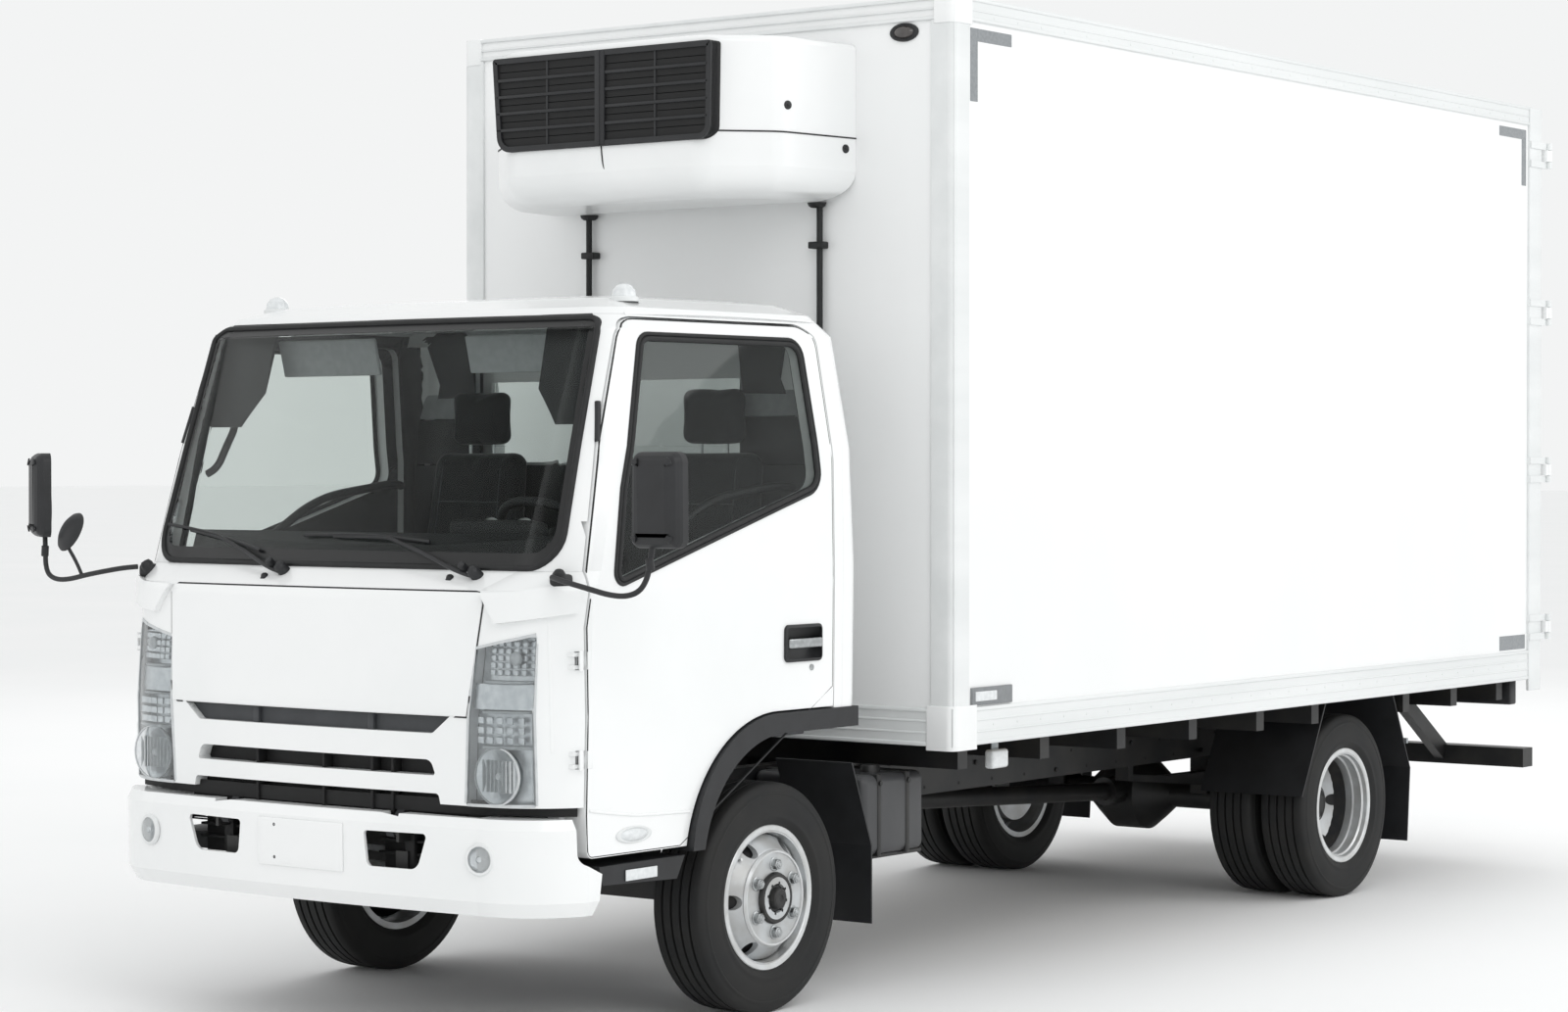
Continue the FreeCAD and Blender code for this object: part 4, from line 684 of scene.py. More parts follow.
def makeWheels():
    bodies = ("wheel_front_left", "wheel_front_right")
    twins = ("wheels_rear_left", "wheels_rear_right")
    frontHub = (wheelPlace["frontX"], place["frontAxleY"], place["axleZ"])
    innerHub = (wheelPlace["rearInnerX"], place["rearAxleY"], place["axleZ"])
    outerHub = (wheelPlace["rearOuterX"], place["rearAxleY"], place["axleZ"])
    face = wheelPlace["face"]

    front = copyOf(plainTyre, "front_tyre_rubber", frontHub)
    bothSides(front, "tyreRubber", bodies, "tyre_rubber", (["front_left_tyre"], ["front_right_tyre"]))
    pair = together("rear_tyre_rubbers", [copyOf(plainTyre, "inner", innerHub),
                                          copyOf(plainTyre, "outer", outerHub)])
    bothSides(pair, "tyreRubber", twins, "tyre_rubber", (["rear_left_tyres"], ["rear_right_tyres"]))

    # front: rolled step round the bolt face, bead on the flange, valve
    step = lathe("step", [(face - 0.004, 0.1450), (face + 0.0045, 0.1490), (face + 0.0050, 0.1545),
                          (face - 0.0030, 0.1600), (face - 0.010, 0.1580)], frontHub, closed=True, steps=64)
    bead = lathe("bead", [(0.074, 0.2150), (0.086, 0.2150), (0.0905, 0.2200), (0.0915, 0.2350),
                          (0.0890, 0.2375), (0.0865, 0.2340), (0.0850, 0.2215), (0.074, 0.2205)],
                 frontHub, closed=True, steps=64)
    valve = tube("valve", [(0.86, -2.3, 0.505), (0.885, -2.303, 0.508), (0.905, -2.310, 0.515)], 0.0045)
    # the rings and valve take the lighter enamel: painted highlight
    bothSides(together("front_rim_rings", [step, bead, valve]), "wheelEnamelLight", bodies, "wheel_white")
    hub = lathe("front_hub_cap", [(face - 0.002, 0.0840), (face + 0.004, 0.0850), (face + 0.0150, 0.0800),
                                  (face + 0.0155, 0.0700), (face + 0.006, 0.0640), (face + 0.006, 0.0360),
                                  (face + 0.026, 0.0330), (face + 0.030, 0.0280), (face + 0.030, 0.0120),
                                  (face + 0.027, 0.0100), (face + 0.027, 0.0001)], frontHub, steps=48,
                width=0.0008)
    bolts = [hub]
    for turn in range(8):
        angle = math.radians(45 * turn + 12)
        spot = (frontHub[0] + face + 0.005, frontHub[1] + 0.050 * math.sin(angle),
                frontHub[2] + 0.050 * math.cos(angle))
        bolts.append(lathe(f"cap_bolt_{turn}",
                           [(0, 0.0075), (0.007, 0.0075), (0.009, 0.0055), (0.009, 0.0001)],
                           spot, steps=6))
    bothSides(together("front_hub_cap", bolts), "chassisEnamel", bodies)
    shade = lathe("front_drum_shade", [(-0.02, 0.1960), (0.026, 0.1900), (0.040, 0.1860), (0.086, 0.1420),
                                       (0.086, 0.1300)], frontHub, steps=32)
    bothSides(shade, "castIron", bodies)
    bothSides(nutRing("front_wheel_nuts", frontHub[0] + face, frontHub[1]), "zincPlate", bodies)

    # rear: deep dish with its rings, nuts and hub far in
    rings = []
    for name, section in {
        "flange": [(0.074, 0.2150), (0.086, 0.2150), (0.0905, 0.2200), (0.0915, 0.2350), (0.0890, 0.2375),
                   (0.0865, 0.2340), (0.0850, 0.2215), (0.074, 0.2205)],
        "shelf": [(0.0600, 0.2110), (0.0660, 0.2040), (0.0720, 0.2090), (0.0740, 0.2160)],
        "lip": [(0.018, 0.2105), (0.021, 0.2030), (0.026, 0.2020), (0.030, 0.2105)],
        "inner": [(-0.030, 0.2105), (-0.028, 0.2045), (-0.024, 0.2040), (-0.020, 0.2105)],
        "step": [(-0.096, 0.1450), (-0.0955, 0.1540), (-0.100, 0.1600), (-0.104, 0.1560)],
    }.items():
        rings.append(lathe(name, section, outerHub, closed=True, steps=64))
    # the rings take the lighter enamel: painted highlight
    bothSides(together("rear_rim_rings", rings), "wheelEnamelLight", twins, "wheel_white")
    cap = lathe("rear_hub_cap", [(0.128, 0.0850), (0.195, 0.0830), (0.204, 0.0780), (0.206, 0.0640),
                                 (0.214, 0.0600), (0.218, 0.0400), (0.224, 0.0370), (0.224, 0.0001)],
                innerHub, steps=40, width=0.0008)
    bothSides(cap, "chassisEnamel", twins)
    nutX = outerHub[0] - face + 0.012
    bothSides(nutRing("rear_wheel_nuts", nutX, outerHub[1]), "zincPlate", twins)
    shade = lathe("rear_drum_shade", [(0.02, 0.1960), (-0.026, 0.1900), (-0.040, 0.1860), (-0.084, 0.1420),
                                      (-0.106, 0.1400)], outerHub, steps=32)
    # behind the outer disc's hand holes
    for vertex in shade.data.vertices:
        vertex.co.x -= 0.022
    bothSides(shade, "castIron", twins)


plainTyre = shapeTyre()
plainNut = shapeNut()
makeWheels()
bpy.data.objects.remove(plainTyre)
bpy.data.objects.remove(plainNut)
print("wheels and tyres made")


# cab front
def frontLine(panel, z, xs, back=0.0):
    # points along the front of a panel at one height
    spots = []
    for x in xs:
        where = onPanel(panel, (x, -3.7, z), (0, 1, 0))
        if where:
            spots.append((x, where.y + back, z))
    return spots


def bentPlate(name, line, low, high, thick, width=0.0):
    # a plate that follows a line seen from above
    foot = [(x, y, low) for x, y, z in line]
    rear = [(x, y + thick, low) for x, y, z in reversed(line)]
    return slab(name, foot + rear, (0, 0, high - low), width)


def makeHood():
    hood = {"outline": [(-0.681, 1.404, 0.03), (-0.640, 1.027, 0.02), (0.640, 1.027, 0.02),
                        (0.681, 1.404, 0.03)],
            "proud": 0.004, "gap": 0.005}
    outline = roundCorners(hood["outline"])
    panel = sheetOn("hood_panel", "cab_front_panel", (0, -3.6, 0), 0, outline, 0.0008, hood["proud"], 0.0015)
    finish(panel, "stovedEnamel", "cab", "white_body")
    # a black sheet 5 mm wider than the hood panel, seen round its edge: painted shadow of the panel gap
    seam = sheetOn("hood_gap_painted_shadow", "cab_front_panel", (0, -3.6, 0), 0, grown(outline, hood["gap"]), 0.0004,
                   0.0008)
    finish(seam, "epdmSeal", "cab")


def makeGrille():
    # painted shade: dead black sheets behind the three openings, the top one closed by a paler shield
    grille = {"back": 0.050, "shieldBack": 0.020, "fins": (-0.25, 0.045, 0.25, 0.332)}
    xs = [-0.60 + 0.06 * step for step in range(21)]
    line = frontLine("cab_front_panel", 1.10, xs)
    shadeSheet = bentPlate("grille_painted_shade", [(x, y + grille["back"], z) for x, y, z in line], 0.700, 0.930, 0.004)
    finish(shadeSheet, "ductBlack", "cab")
    shield = [bentPlate("shield", [(x, y + grille["shieldBack"], z) for x, y, z in line], 0.9500, 1.0450,
                        0.003)]
    for number, x in enumerate((-0.25, 0.25)):
        near = min(line, key=lambda spot: abs(spot[0] - x))
        shield.append(block(f"shield_fin_{number}", (x - 0.012, near[1] + 0.006, 0.952),
                            (x + 0.012, near[1] + 0.024, 1.040), 0.002))
    finish(together("grille_shield", shield), "trimPolypropylene", "cab")
    # the fins in the openings are in the same dead black: painted shade
    fins = []
    for number, x in enumerate(grille["fins"]):
        near = min(line, key=lambda spot: abs(spot[0] - x))
        fins.append(block(f"fin_{number}", (x - 0.005, near[1] + 0.012, 0.72),
                          (x + 0.005, near[1] + 0.05, 0.93),
                          0.001))
    finish(together("grille_fins", fins), "ductBlack", "cab")
    # painted shade: a dead black strip that closes the gap down to the bumper
    wide = frontLine("cab_front_panel", 0.800, [-0.94 + 0.04 * step for step in range(48)])
    gapShade = bentPlate("lower_gap_painted_shade", [(x, y + 0.022, z) for x, y, z in wide], 0.727, 0.772, 0.003)
    finish(gapShade, "ductBlack", "cab")


def cornerSheet(name, corners, lift, thick, width, cell=0.02, others=()):
    # a sheet pressed onto the cab's rounded front corner; corners are (x, y, z) on it
    half = math.sqrt(0.5)
    outline = [((x - 0.95) * half + (y + 3.45) * half, z) for x, y, z in corners]
    return sheetOn(name, "cab_front_panel", (0.95, -3.45, 0), 45, outline, lift, thick, width, cell=cell,
                   others=others)


def makeCornerFairings():
    # raised hood-side fairing that runs down beside the lamp
    top = cornerSheet("top", [(0.672, -3.301, 1.402), (0.950, -3.163, 1.420), (0.945, -3.180, 1.345),
                              (0.736, -3.309, 1.310)], 0.0005, 0.022, 0.008)
    side = cornerSheet("side", [(0.893, -3.258, 1.318), (0.947, -3.186, 1.338), (0.945, -3.190, 0.790),
                                (0.900, -3.248, 0.790)], 0.0005, 0.009, 0.004, others=("cab_side_frames",))
    bothSides(together("corner_fairing", [top, side]), "stovedEnamel", ("cab", "cab"), "white_body")


def lampSheet(name, outline, lift, thick, width=0.0, hole=None, cell=0.02):
    return sheetOn(name, "headlamps", (0, -3.6, 0), 0, outline, lift, thick, width, hole=hole, cell=cell)


def lampFace(x, z):
    where = onPanel("headlamps", (x, -3.7, z), (0, 1, 0))
    return where.y if where else -3.25


def makeHeadlamps():
    lamp = {"outline": [(0.633, 0.758, 0.012), (0.659, 1.235, 0.012), (0.860, 1.281, 0.012),
                        (0.865, 0.762, 0.012)], "deep": 0.050}
    outline = roundCorners(lamp["outline"], 4)
    lens = lampSheet("headlamp_lens", outline, -0.003, 0.003, 0.0008)
    back = lampSheet("headlamp_bowl", grown(outline, -0.003), -lamp["deep"], 0.002)
    rim = lampSheet("headlamp_rim", grown(outline, 0.004), -0.010, 0.0115, 0.001, hole=grown(outline, -0.005))
    dividers = []
    for z, half in ((1.134, 0.004), (1.043, 0.004), (0.936, 0.005)):
        line = [(x, lampFace(x, z) + 0.006, z) for x in (0.643, 0.70, 0.76, 0.81, 0.862)]
        dividers.append(bentPlate(f"lamp_shelf_{z}", line, z - half, z + half, 0.040, 0.001))
    # turn signal bowl, upper part
    signal = []
    for row in range(5):
        for column in range(6):
            x, z = 0.700 + column * 0.026, 1.153 + row * 0.022
            y = lampFace(x, z) + 0.028
            signal.append(block(f"prism_{row}_{column}", (x, y, z), (x + 0.021, y + 0.012, z + 0.018), 0.004,
                                2))
    bulbGlow = lathe("signal_bulb", [(0, 0.022), (0.010, 0.020), (0.016, 0.012), (0.018, 0.0001)],
                     (0.79, lampFace(0.79, 1.20) + 0.026, 1.205), (0, -1, 0), 20)
    band = lampSheet("headlamp_band", [(0.655, 1.050), (0.657, 1.128), (0.858, 1.128), (0.859, 1.050)],
                     -0.020, 0.004, 0.001)
    squares = []
    for row in range(3):
        for column in range(5):
            x, z = 0.672 + column * 0.034, 0.947 + row * 0.030
            y = lampFace(x, z) + 0.016
            squares.append(block(f"square_{row}_{column}", (x, y, z), (x + 0.025, y + 0.008, z + 0.021),
                                 0.003, 2))
    faceY = lampFace(0.752, 0.85) + 0.004
    bowl = lathe("bowl", [(0.0, 0.088), (-0.004, 0.082), (-0.018, 0.066), (-0.032, 0.046), (-0.040, 0.024),
                          (-0.041, 0.0001)], (0.750, faceY, 0.849), (0, -1, 0), 40)
    bowlRim = lathe("bowl_rim", [(-0.006, 0.084), (0.002, 0.084), (0.002, 0.088), (-0.006, 0.088)],
                    (0.750, faceY, 0.849), (0, -1, 0), 40, closed=True)
    cap = lathe("cap", [(-0.036, 0.013), (-0.010, 0.013), (-0.004, 0.009), (-0.003, 0.0001)],
                (0.750, faceY, 0.849), (0, -1, 0), 24)
    vanes = [block(f"vane_{number}", (0.750 - 0.062 + number * 0.0155, faceY + 0.003, 0.800),
                   (0.750 - 0.060 + number * 0.0155, faceY + 0.020, 0.898), 0.0006, 1) for number in range(9)]
    bothSides(together("headlamp_reflectors", [back, bowl, band, *signal, *squares]), "metallisedReflector",
              ("cab", "cab"))
    bothSides(together("headlamp_frames", [rim, bowlRim, *dividers]), "lampBezel", ("cab", "cab"))
    bothSides(together("headlamp_bulbs", [bulbGlow, cap, *vanes]), "clearAcrylic", ("cab", "cab"),
              "lamp_clear")
    bothSides(lens, "lampLens", ("cab", "cab"), "lamp_clear", (["headlamps"], ()))


def makeBumperTrim():
    plate = {"outline": [(-0.182, 0.529, 0.008), (-0.182, 0.680, 0.008), (0.185, 0.680, 0.008),
                         (0.185, 0.529, 0.008)]}
    pad = sheetOn("plate_pad", "front_bumper", (0, -3.6, 0), 0, roundCorners(plate["outline"]), 0.0003, 0.006,
                  0.002)
    finish(pad, "stovedEnamel", "chassis", "white_body")
    # dark discs over the plate's bolt holes: painted shade
    holes = []
    for x in (-0.108, 0.108):
        for z in (0.556, 0.659):
            y = onPanel("front_bumper", (x + 0.012, -3.7, z), (0, 1, 0)).y
            holes.append(lathe("plate_hole", [(0.0061, 0.0001), (0.0064, 0.0052), (0.0050, 0.0058)],
                               (x, y, z),
                               (0, -1, 0), 12))
    finish(together("plate_holes_painted_shade", holes), "epdmSeal", "chassis")
    # ducts behind the two air openings
    # painted shade: dead black back plates behind the two air openings, with ribs and a middle post in the
    # same black
    shadeParts = []
    for number, (low, high) in enumerate(((0.255, 0.535), (-0.535, -0.255))):
        shadeParts.append(block(f"duct_back_{number}", (low, -3.290, 0.540), (high, -3.284, 0.680), 0.001))
        for step, z in enumerate((0.585, 0.625)):
            shadeParts.append(block(f"duct_rib_{number}_{step}", (low, -3.318, z), (high, -3.290, z + 0.008),
                               0.001))
        middle = (low + high) / 2
        shadeParts.append(block(f"duct_post_{number}", (middle - 0.02, -3.330, 0.545),
                           (middle + 0.02, -3.290, 0.675),
                           0.004))
    finish(together("bumper_painted_shade", shadeParts), "ductBlack", "chassis")
    # fog lamps at the bumper's corners
    x, z = 0.720, 0.600
    y = onPanel("front_bumper", (x, -3.7, z), (0, 1, 0)).y
    way = (0.20, -0.98, 0)
    ring = lathe("fog_lamp_ring", [(-0.004, 0.052), (0.004, 0.051), (0.008, 0.047), (0.007, 0.040),
                                  (0.001, 0.038), (-0.004, 0.038)], (x, y, z), way, 40, closed=True)
    bowl = lathe("fog_lamp_bowl", [(0.002, 0.039), (-0.003, 0.030), (-0.003, 0.012), (0.000, 0.008),
                                  (0.000, 0.0001)], (x, y - 0.001, z), way, 32)
    lens = lathe("fog_lamp_lens", [(0.003, 0.0395), (0.008, 0.032), (0.011, 0.018), (0.012, 0.0001)],
                 (x, y - 0.001, z), way, 32)
    bothSides(ring, "coatedExtrusion", ("chassis", "chassis"))
    bothSides(bowl, "metallisedReflector", ("chassis", "chassis"))
    bothSides(lens, "lampLens", ("chassis", "chassis"), "lamp_clear")


def onGlass(x, z, off):
    # a point in front of the windscreen; below the glass it stands a little further out
    foot = 1.475
    where = onPanel("windscreen", (x, -3.7, max(z, foot)), (0, 1, 0))
    return (x, where.y - off - (0.02 if z < foot else 0), z)


def between(first, second, share, off, sag=0.0):
    # a point on the glass part of the way from one spot to another
    return onGlass(first[0] + (second[0] - first[0]) * share, first[1] + (second[1] - first[1]) * share + sag,
                   off)


def makeWipers():
    # arms in tandem, parked towards the right: pivot, arm's end on the blade, blade ends
    wipers = [
        ("right", (-0.201, 1.452), (-0.541, 1.556), (-0.838, 1.594), (-0.342, 1.515)),
        ("left", (0.603, 1.451), (0.218, 1.566), (-0.153, 1.567), (0.385, 1.553)),
    ]
    for base, pivot, joint, far, near in wipers:
        spots = [onGlass(*pivot, 0.030), onGlass(pivot[0] * 0.86 + joint[0] * 0.14, pivot[1] + 0.012, 0.036),
                 onGlass((pivot[0] + joint[0]) / 2, (pivot[1] + joint[1]) / 2 + 0.004, 0.034),
                 onGlass(*joint, 0.024)]
        arm = tube(f"{base}_wiper_arm", spots, 0.0065)
        shares = (0, 0.25, 0.5, 0.75, 1)
        bladeSpots = [between(far, near, t, 0.011, 0.010 * math.sin(math.pi * t)) for t in shares]
        blade = tube(f"{base}_blade", bladeSpots, 0.0055)
        bridge = tube(f"{base}_bridge", [between(far, near, 0.25, 0.012), onGlass(*joint, 0.026),
                                         between(far, near, 0.75, 0.012)], 0.0042)
        x, z = pivot
        y = onPanel("cab_front_panel", (x, -3.7, z), (0, 1, 0)).y
        boss = lathe(f"{base}_boss", [(-0.01, 0.021), (0.028, 0.019), (0.036, 0.014), (0.040, 0.006),
                                      (0.040, 0.0001)],
                     (x, y, z), (0, -0.8, 0.6), 24)
        knuckle = lathe(f"{base}_knuckle", [(0.012, 0.0001), (0.012, 0.0125), (0.040, 0.0125), (0.044, 0.008),
                                            (0.044, 0.0001)], (x - 0.035, y - 0.004, z + 0.012),
                        (0, -0.8, 0.6), 20)
        finish(together(f"{base}_wiper", [arm, blade, bridge, boss, knuckle]), "grainedAbs", "cab",
               "black_plastic")
    jets = []
    for number, (x, z) in enumerate(((-0.270, 1.435), (0.506, 1.444))):
        y = onPanel("cab_front_panel", (x, -3.7, z), (0, 1, 0)).y
        jets.append(lathe(f"jet_{number}", [(-0.004, 0.013), (0.004, 0.012), (0.010, 0.007), (0.013, 0.0001)],
                          (x, y, z), (0, -0.8, 0.6), 16))
        jets.append(block(f"jet_foot_{number}", (x - 0.012, y - 0.010, z - 0.022),
                          (x + 0.012, y + 0.012, z - 0.002),
                          0.004))
    finish(together("washer_jets", jets), "grainedAbs", "cab")


makeHood()
makeGrille()
makeCornerFairings()
makeHeadlamps()
makeBumperTrim()
makeWipers()
print("cab front made")


# windows, doors and pillars
screenOutline = [(-0.884, 1.468, 0.110), (-0.846, 2.256, 0.060), (0.846, 2.256, 0.060), (0.884, 1.468, 0.110)]
windowOutline = [(-3.030, 1.427, 0.025), (-2.980, 1.720, 0), (-2.836, 2.190, 0.045), (-2.072, 2.190, 0.060),
                 (-1.998, 1.722, 0.060)]
doorOutline = [(-3.155, 0.598, 0.025), (-3.161, 0.727, 0), (-3.161, 1.300, 0), (-3.138, 1.470, 0),
               (-3.036, 1.874, 0), (-2.908, 2.248, 0.090), (-1.988, 2.248, 0.090), (-1.922, 1.806, 0),
               (-1.918, 1.060, 0), (-1.918, 0.594, 0)]


def makeWindscreenSeals():
    outline = roundCorners(screenOutline, 8)
    border = sheetOn("windscreen_border", "windscreen", (0, -3.6, 0), 0, grown(outline, -0.004), 0.0002,
                     0.0004,
                     hole=[(u, v + (0.018 if v < 1.7 else 0)) for u, v in grown(outline, -0.036)], cell=0.03)
    finish(border, "ceramicBorder", "cab")
    gasket = rubberOn("windscreen_gasket", "windscreen", grown(outline, -0.008), "front", 0.0105, out=-3.7,
                      spacing=0.04)
    finish(gasket, "epdmSeal", "cab")
    # cowl strip under the glass
    line = frontLine("cab_front_panel", 1.432, [-0.66 + 0.06 * step for step in range(23)])
    if len(line) > 3:
        strip = tube("cowl_line", [(x, y - 0.0005, 1.4165) for x, y, z in line], 0.0028, smooth=False,
                     sides=2)
        finish(strip, "epdmSeal", "cab")


def makeDoorTrim():
    window = roundCorners(windowOutline, 6)
    seal = rubberOn("door_window_seal", "left_door_glass", grown(window, -0.005), "side", 0.0095, out=1.3,
                    spacing=0.04)
    frame = rubberOn("frame", "left_cab_door", grown(window, 0.010), "side", 0.007, out=1.3, spacing=0.05)
    bothSides(together("door_window_seal", [seal, frame]), "epdmSeal", ("door_left", "door_right"))
    # weather strip in the gap round the door
    door = roundCorners(doorOutline, 6)
    strip = rubberOn("door_weather_strip", "left_cab_door", grown(door, -0.004), "side", 0.004, out=1.3,
                     spacing=0.06, lift=-0.0035)
    bothSides(strip, "epdmSeal", ("door_left", "door_right"))
    handle = {"y": (-2.188, -1.986), "z": (1.150, 1.270), "x": 0.986}
    cup = roundCorners([(handle["y"][0], handle["z"][0], 0.018), (handle["y"][0], handle["z"][1], 0.018),
                        (handle["y"][1], handle["z"][1], 0.018), (handle["y"][1], handle["z"][0], 0.018)], 5)
    face = onPanel("left_cab_door", (1.3, -2.087, 1.21), (-1, 0, 0)).x
    rim = slab("rim", [(face - 0.002, y, z) for y, z in grown(cup, 0.001)], (0.009, 0, 0), 0.002)
    pickFaces(rim, lambda middle, normal: normal.x > 0.9)
    bpy.ops.mesh.inset(thickness=0.010)
    bpy.ops.mesh.extrude_region_move(TRANSFORM_OT_translate={"value": (-0.0042, 0, 0)})
    leave()
    bothSides(rim, "grainedAbs", ("door_left", "door_right"), "black_plastic")
    pull = block("pull", (face + 0.003, -2.176, 1.194), (face + 0.017, -1.998, 1.226), 0.006, 3)
    key = lathe("key", [(-0.002, 0.011), (0.003, 0.010), (0.004, 0.006), (0.004, 0.0001)],
                (face, -2.039, 1.128),
                (1, 0, 0), 20)
    bothSides(together("door_handle", [pull, key]), "zincPlate", ("door_left", "door_right"))
    # pressed crease above the sill
    spots = []
    for y, z in ((-3.150, 0.744), (-3.05, 0.729), (-2.922, 0.713), (-2.80, 0.708), (-2.665, 0.704)):
        where = onPanel("left_cab_door", (1.3, y, z), (-1, 0, 0))
        if where:
            spots.append((where.x + 0.0005, y, z))
    crease = tube("door_crease", spots, 0.0052, sides=3)
    bothSides(crease, "stovedEnamel", ("door_left", "door_right"), "white_body")
    # side turn signal
    y, z = -2.937, 0.655
    where = onPanel("left_cab_door", (1.3, y, z), (-1, 0, 0))
    rim = lathe("rim", [(-0.002, 0.047), (0.004, 0.046), (0.006, 0.042), (0.005, 0.036), (0.0, 0.034)],
                (0, 0, 0), steps=36)
    lens = lathe("lens", [(0.003, 0.036), (0.010, 0.028), (0.013, 0.014), (0.0135, 0.0001)], (0, 0, 0),
                 steps=36)
    for piece in (rim, lens):
        piece.data.transform(Matrix.Diagonal((1, 1.85, 0.56, 1)))
        piece.data.transform(Matrix.Translation(where))
    rim.name, lens.name = "side_signal_rim", "side_signal_lens"
    bothSides(rim, "coatedExtrusion", ("door_left", "door_right"))
    bothSides(lens, "clearAcrylic", ("door_left", "door_right"), "lamp_clear")


def makePillarTrim():
    vent = tube("pillar_vent", [(0.884, -3.010, 1.986), (0.896, -3.024, 1.925), (0.907, -3.039, 1.864)],
                0.0095,
                sides=4)
    bothSides(vent, "grainedAbs", ("cab", "cab"))
    # plates over the hinge notches: the cab's stay within 14 mm of the hinge axis, the door's beyond 19 mm
    covers, fillers = [], []
    for z in (0.900, 1.200):
        covers.append(block("hinge_cover", (0.9645, -3.195, z - 0.031), (0.9690, -3.178, z + 0.031), 0.0015))
        fillers.append(block("hinge_filler", (0.9660, -3.160, z - 0.027), (0.9710, -3.139, z + 0.027),
                             0.0015))
    bothSides(together("hinge_covers", covers), "stovedEnamel", ("cab", "cab"), "white_body")
    bothSides(together("hinge_fillers", fillers), "stovedEnamel", ("door_left", "door_right"), "white_body")
    # clear marker lamps on the roof's front corners
    domes, feet = [], []
    for number, (x, y, z) in enumerate(((0.765, -2.737, 2.312), (-0.765, -2.737, 2.312))):
        where = onPanel("cab_roof", (x, y, 2.6), (0, 0, -1))
        z = where.z if where else z
        feet.append(lathe(f"marker_foot_{number}",
                          [(-0.006, 0.048), (0.006, 0.047), (0.010, 0.043), (0.010, 0.0001)],
                          (x, y, z), (0, 0, 1), 32))
        domes.append(lathe(f"marker_dome_{number}",
                           [(0.010, 0.040), (0.030, 0.037), (0.046, 0.024), (0.052, 0.010),
                                                     (0.053, 0.0001)], (x, y, z), (0, 0, 1), 32))
    finish(together("roof_marker_feet", feet), "coatedExtrusion", "cab")
    finish(together("roof_marker_lenses", domes), "clearAcrylic", "cab", "lamp_clear")
    # drip rail over each door
    spots = []
    for y, z in ((-2.86, 2.262), (-2.70, 2.268), (-2.40, 2.272), (-2.10, 2.270), (-1.96, 2.266)):
        where = onPanel("cab_side_frames", (1.3, y, 2.257), (-1, 0, 0))
        if where:
            spots.append((where.x - 0.002, y, z))
    if len(spots) > 2:
        bothSides(tube("drip_rail", spots, 0.005, sides=3), "stovedEnamel", ("cab", "cab"), "white_body")


def makeStepTrim():
    strip = block("step_reflector", (0.952, -2.961, 0.512), (0.9565, -2.808, 0.546), 0.0015)
    bothSides(strip, "clearAcrylic", ("cab", "cab"))
    ribs = [block(f"tread_{number}", (0.70, -3.045 + number * 0.05, 0.5995),
                  (0.94, -3.030 + number * 0.05, 0.6035),
                  0.001) for number in range(7)]
    bothSides(together("step_treads", ribs), "floorRubber", ("cab", "cab"))


makeWindscreenSeals()
makeDoorTrim()
makePillarTrim()
makeStepTrim()
print("windows, doors and pillars trimmed")


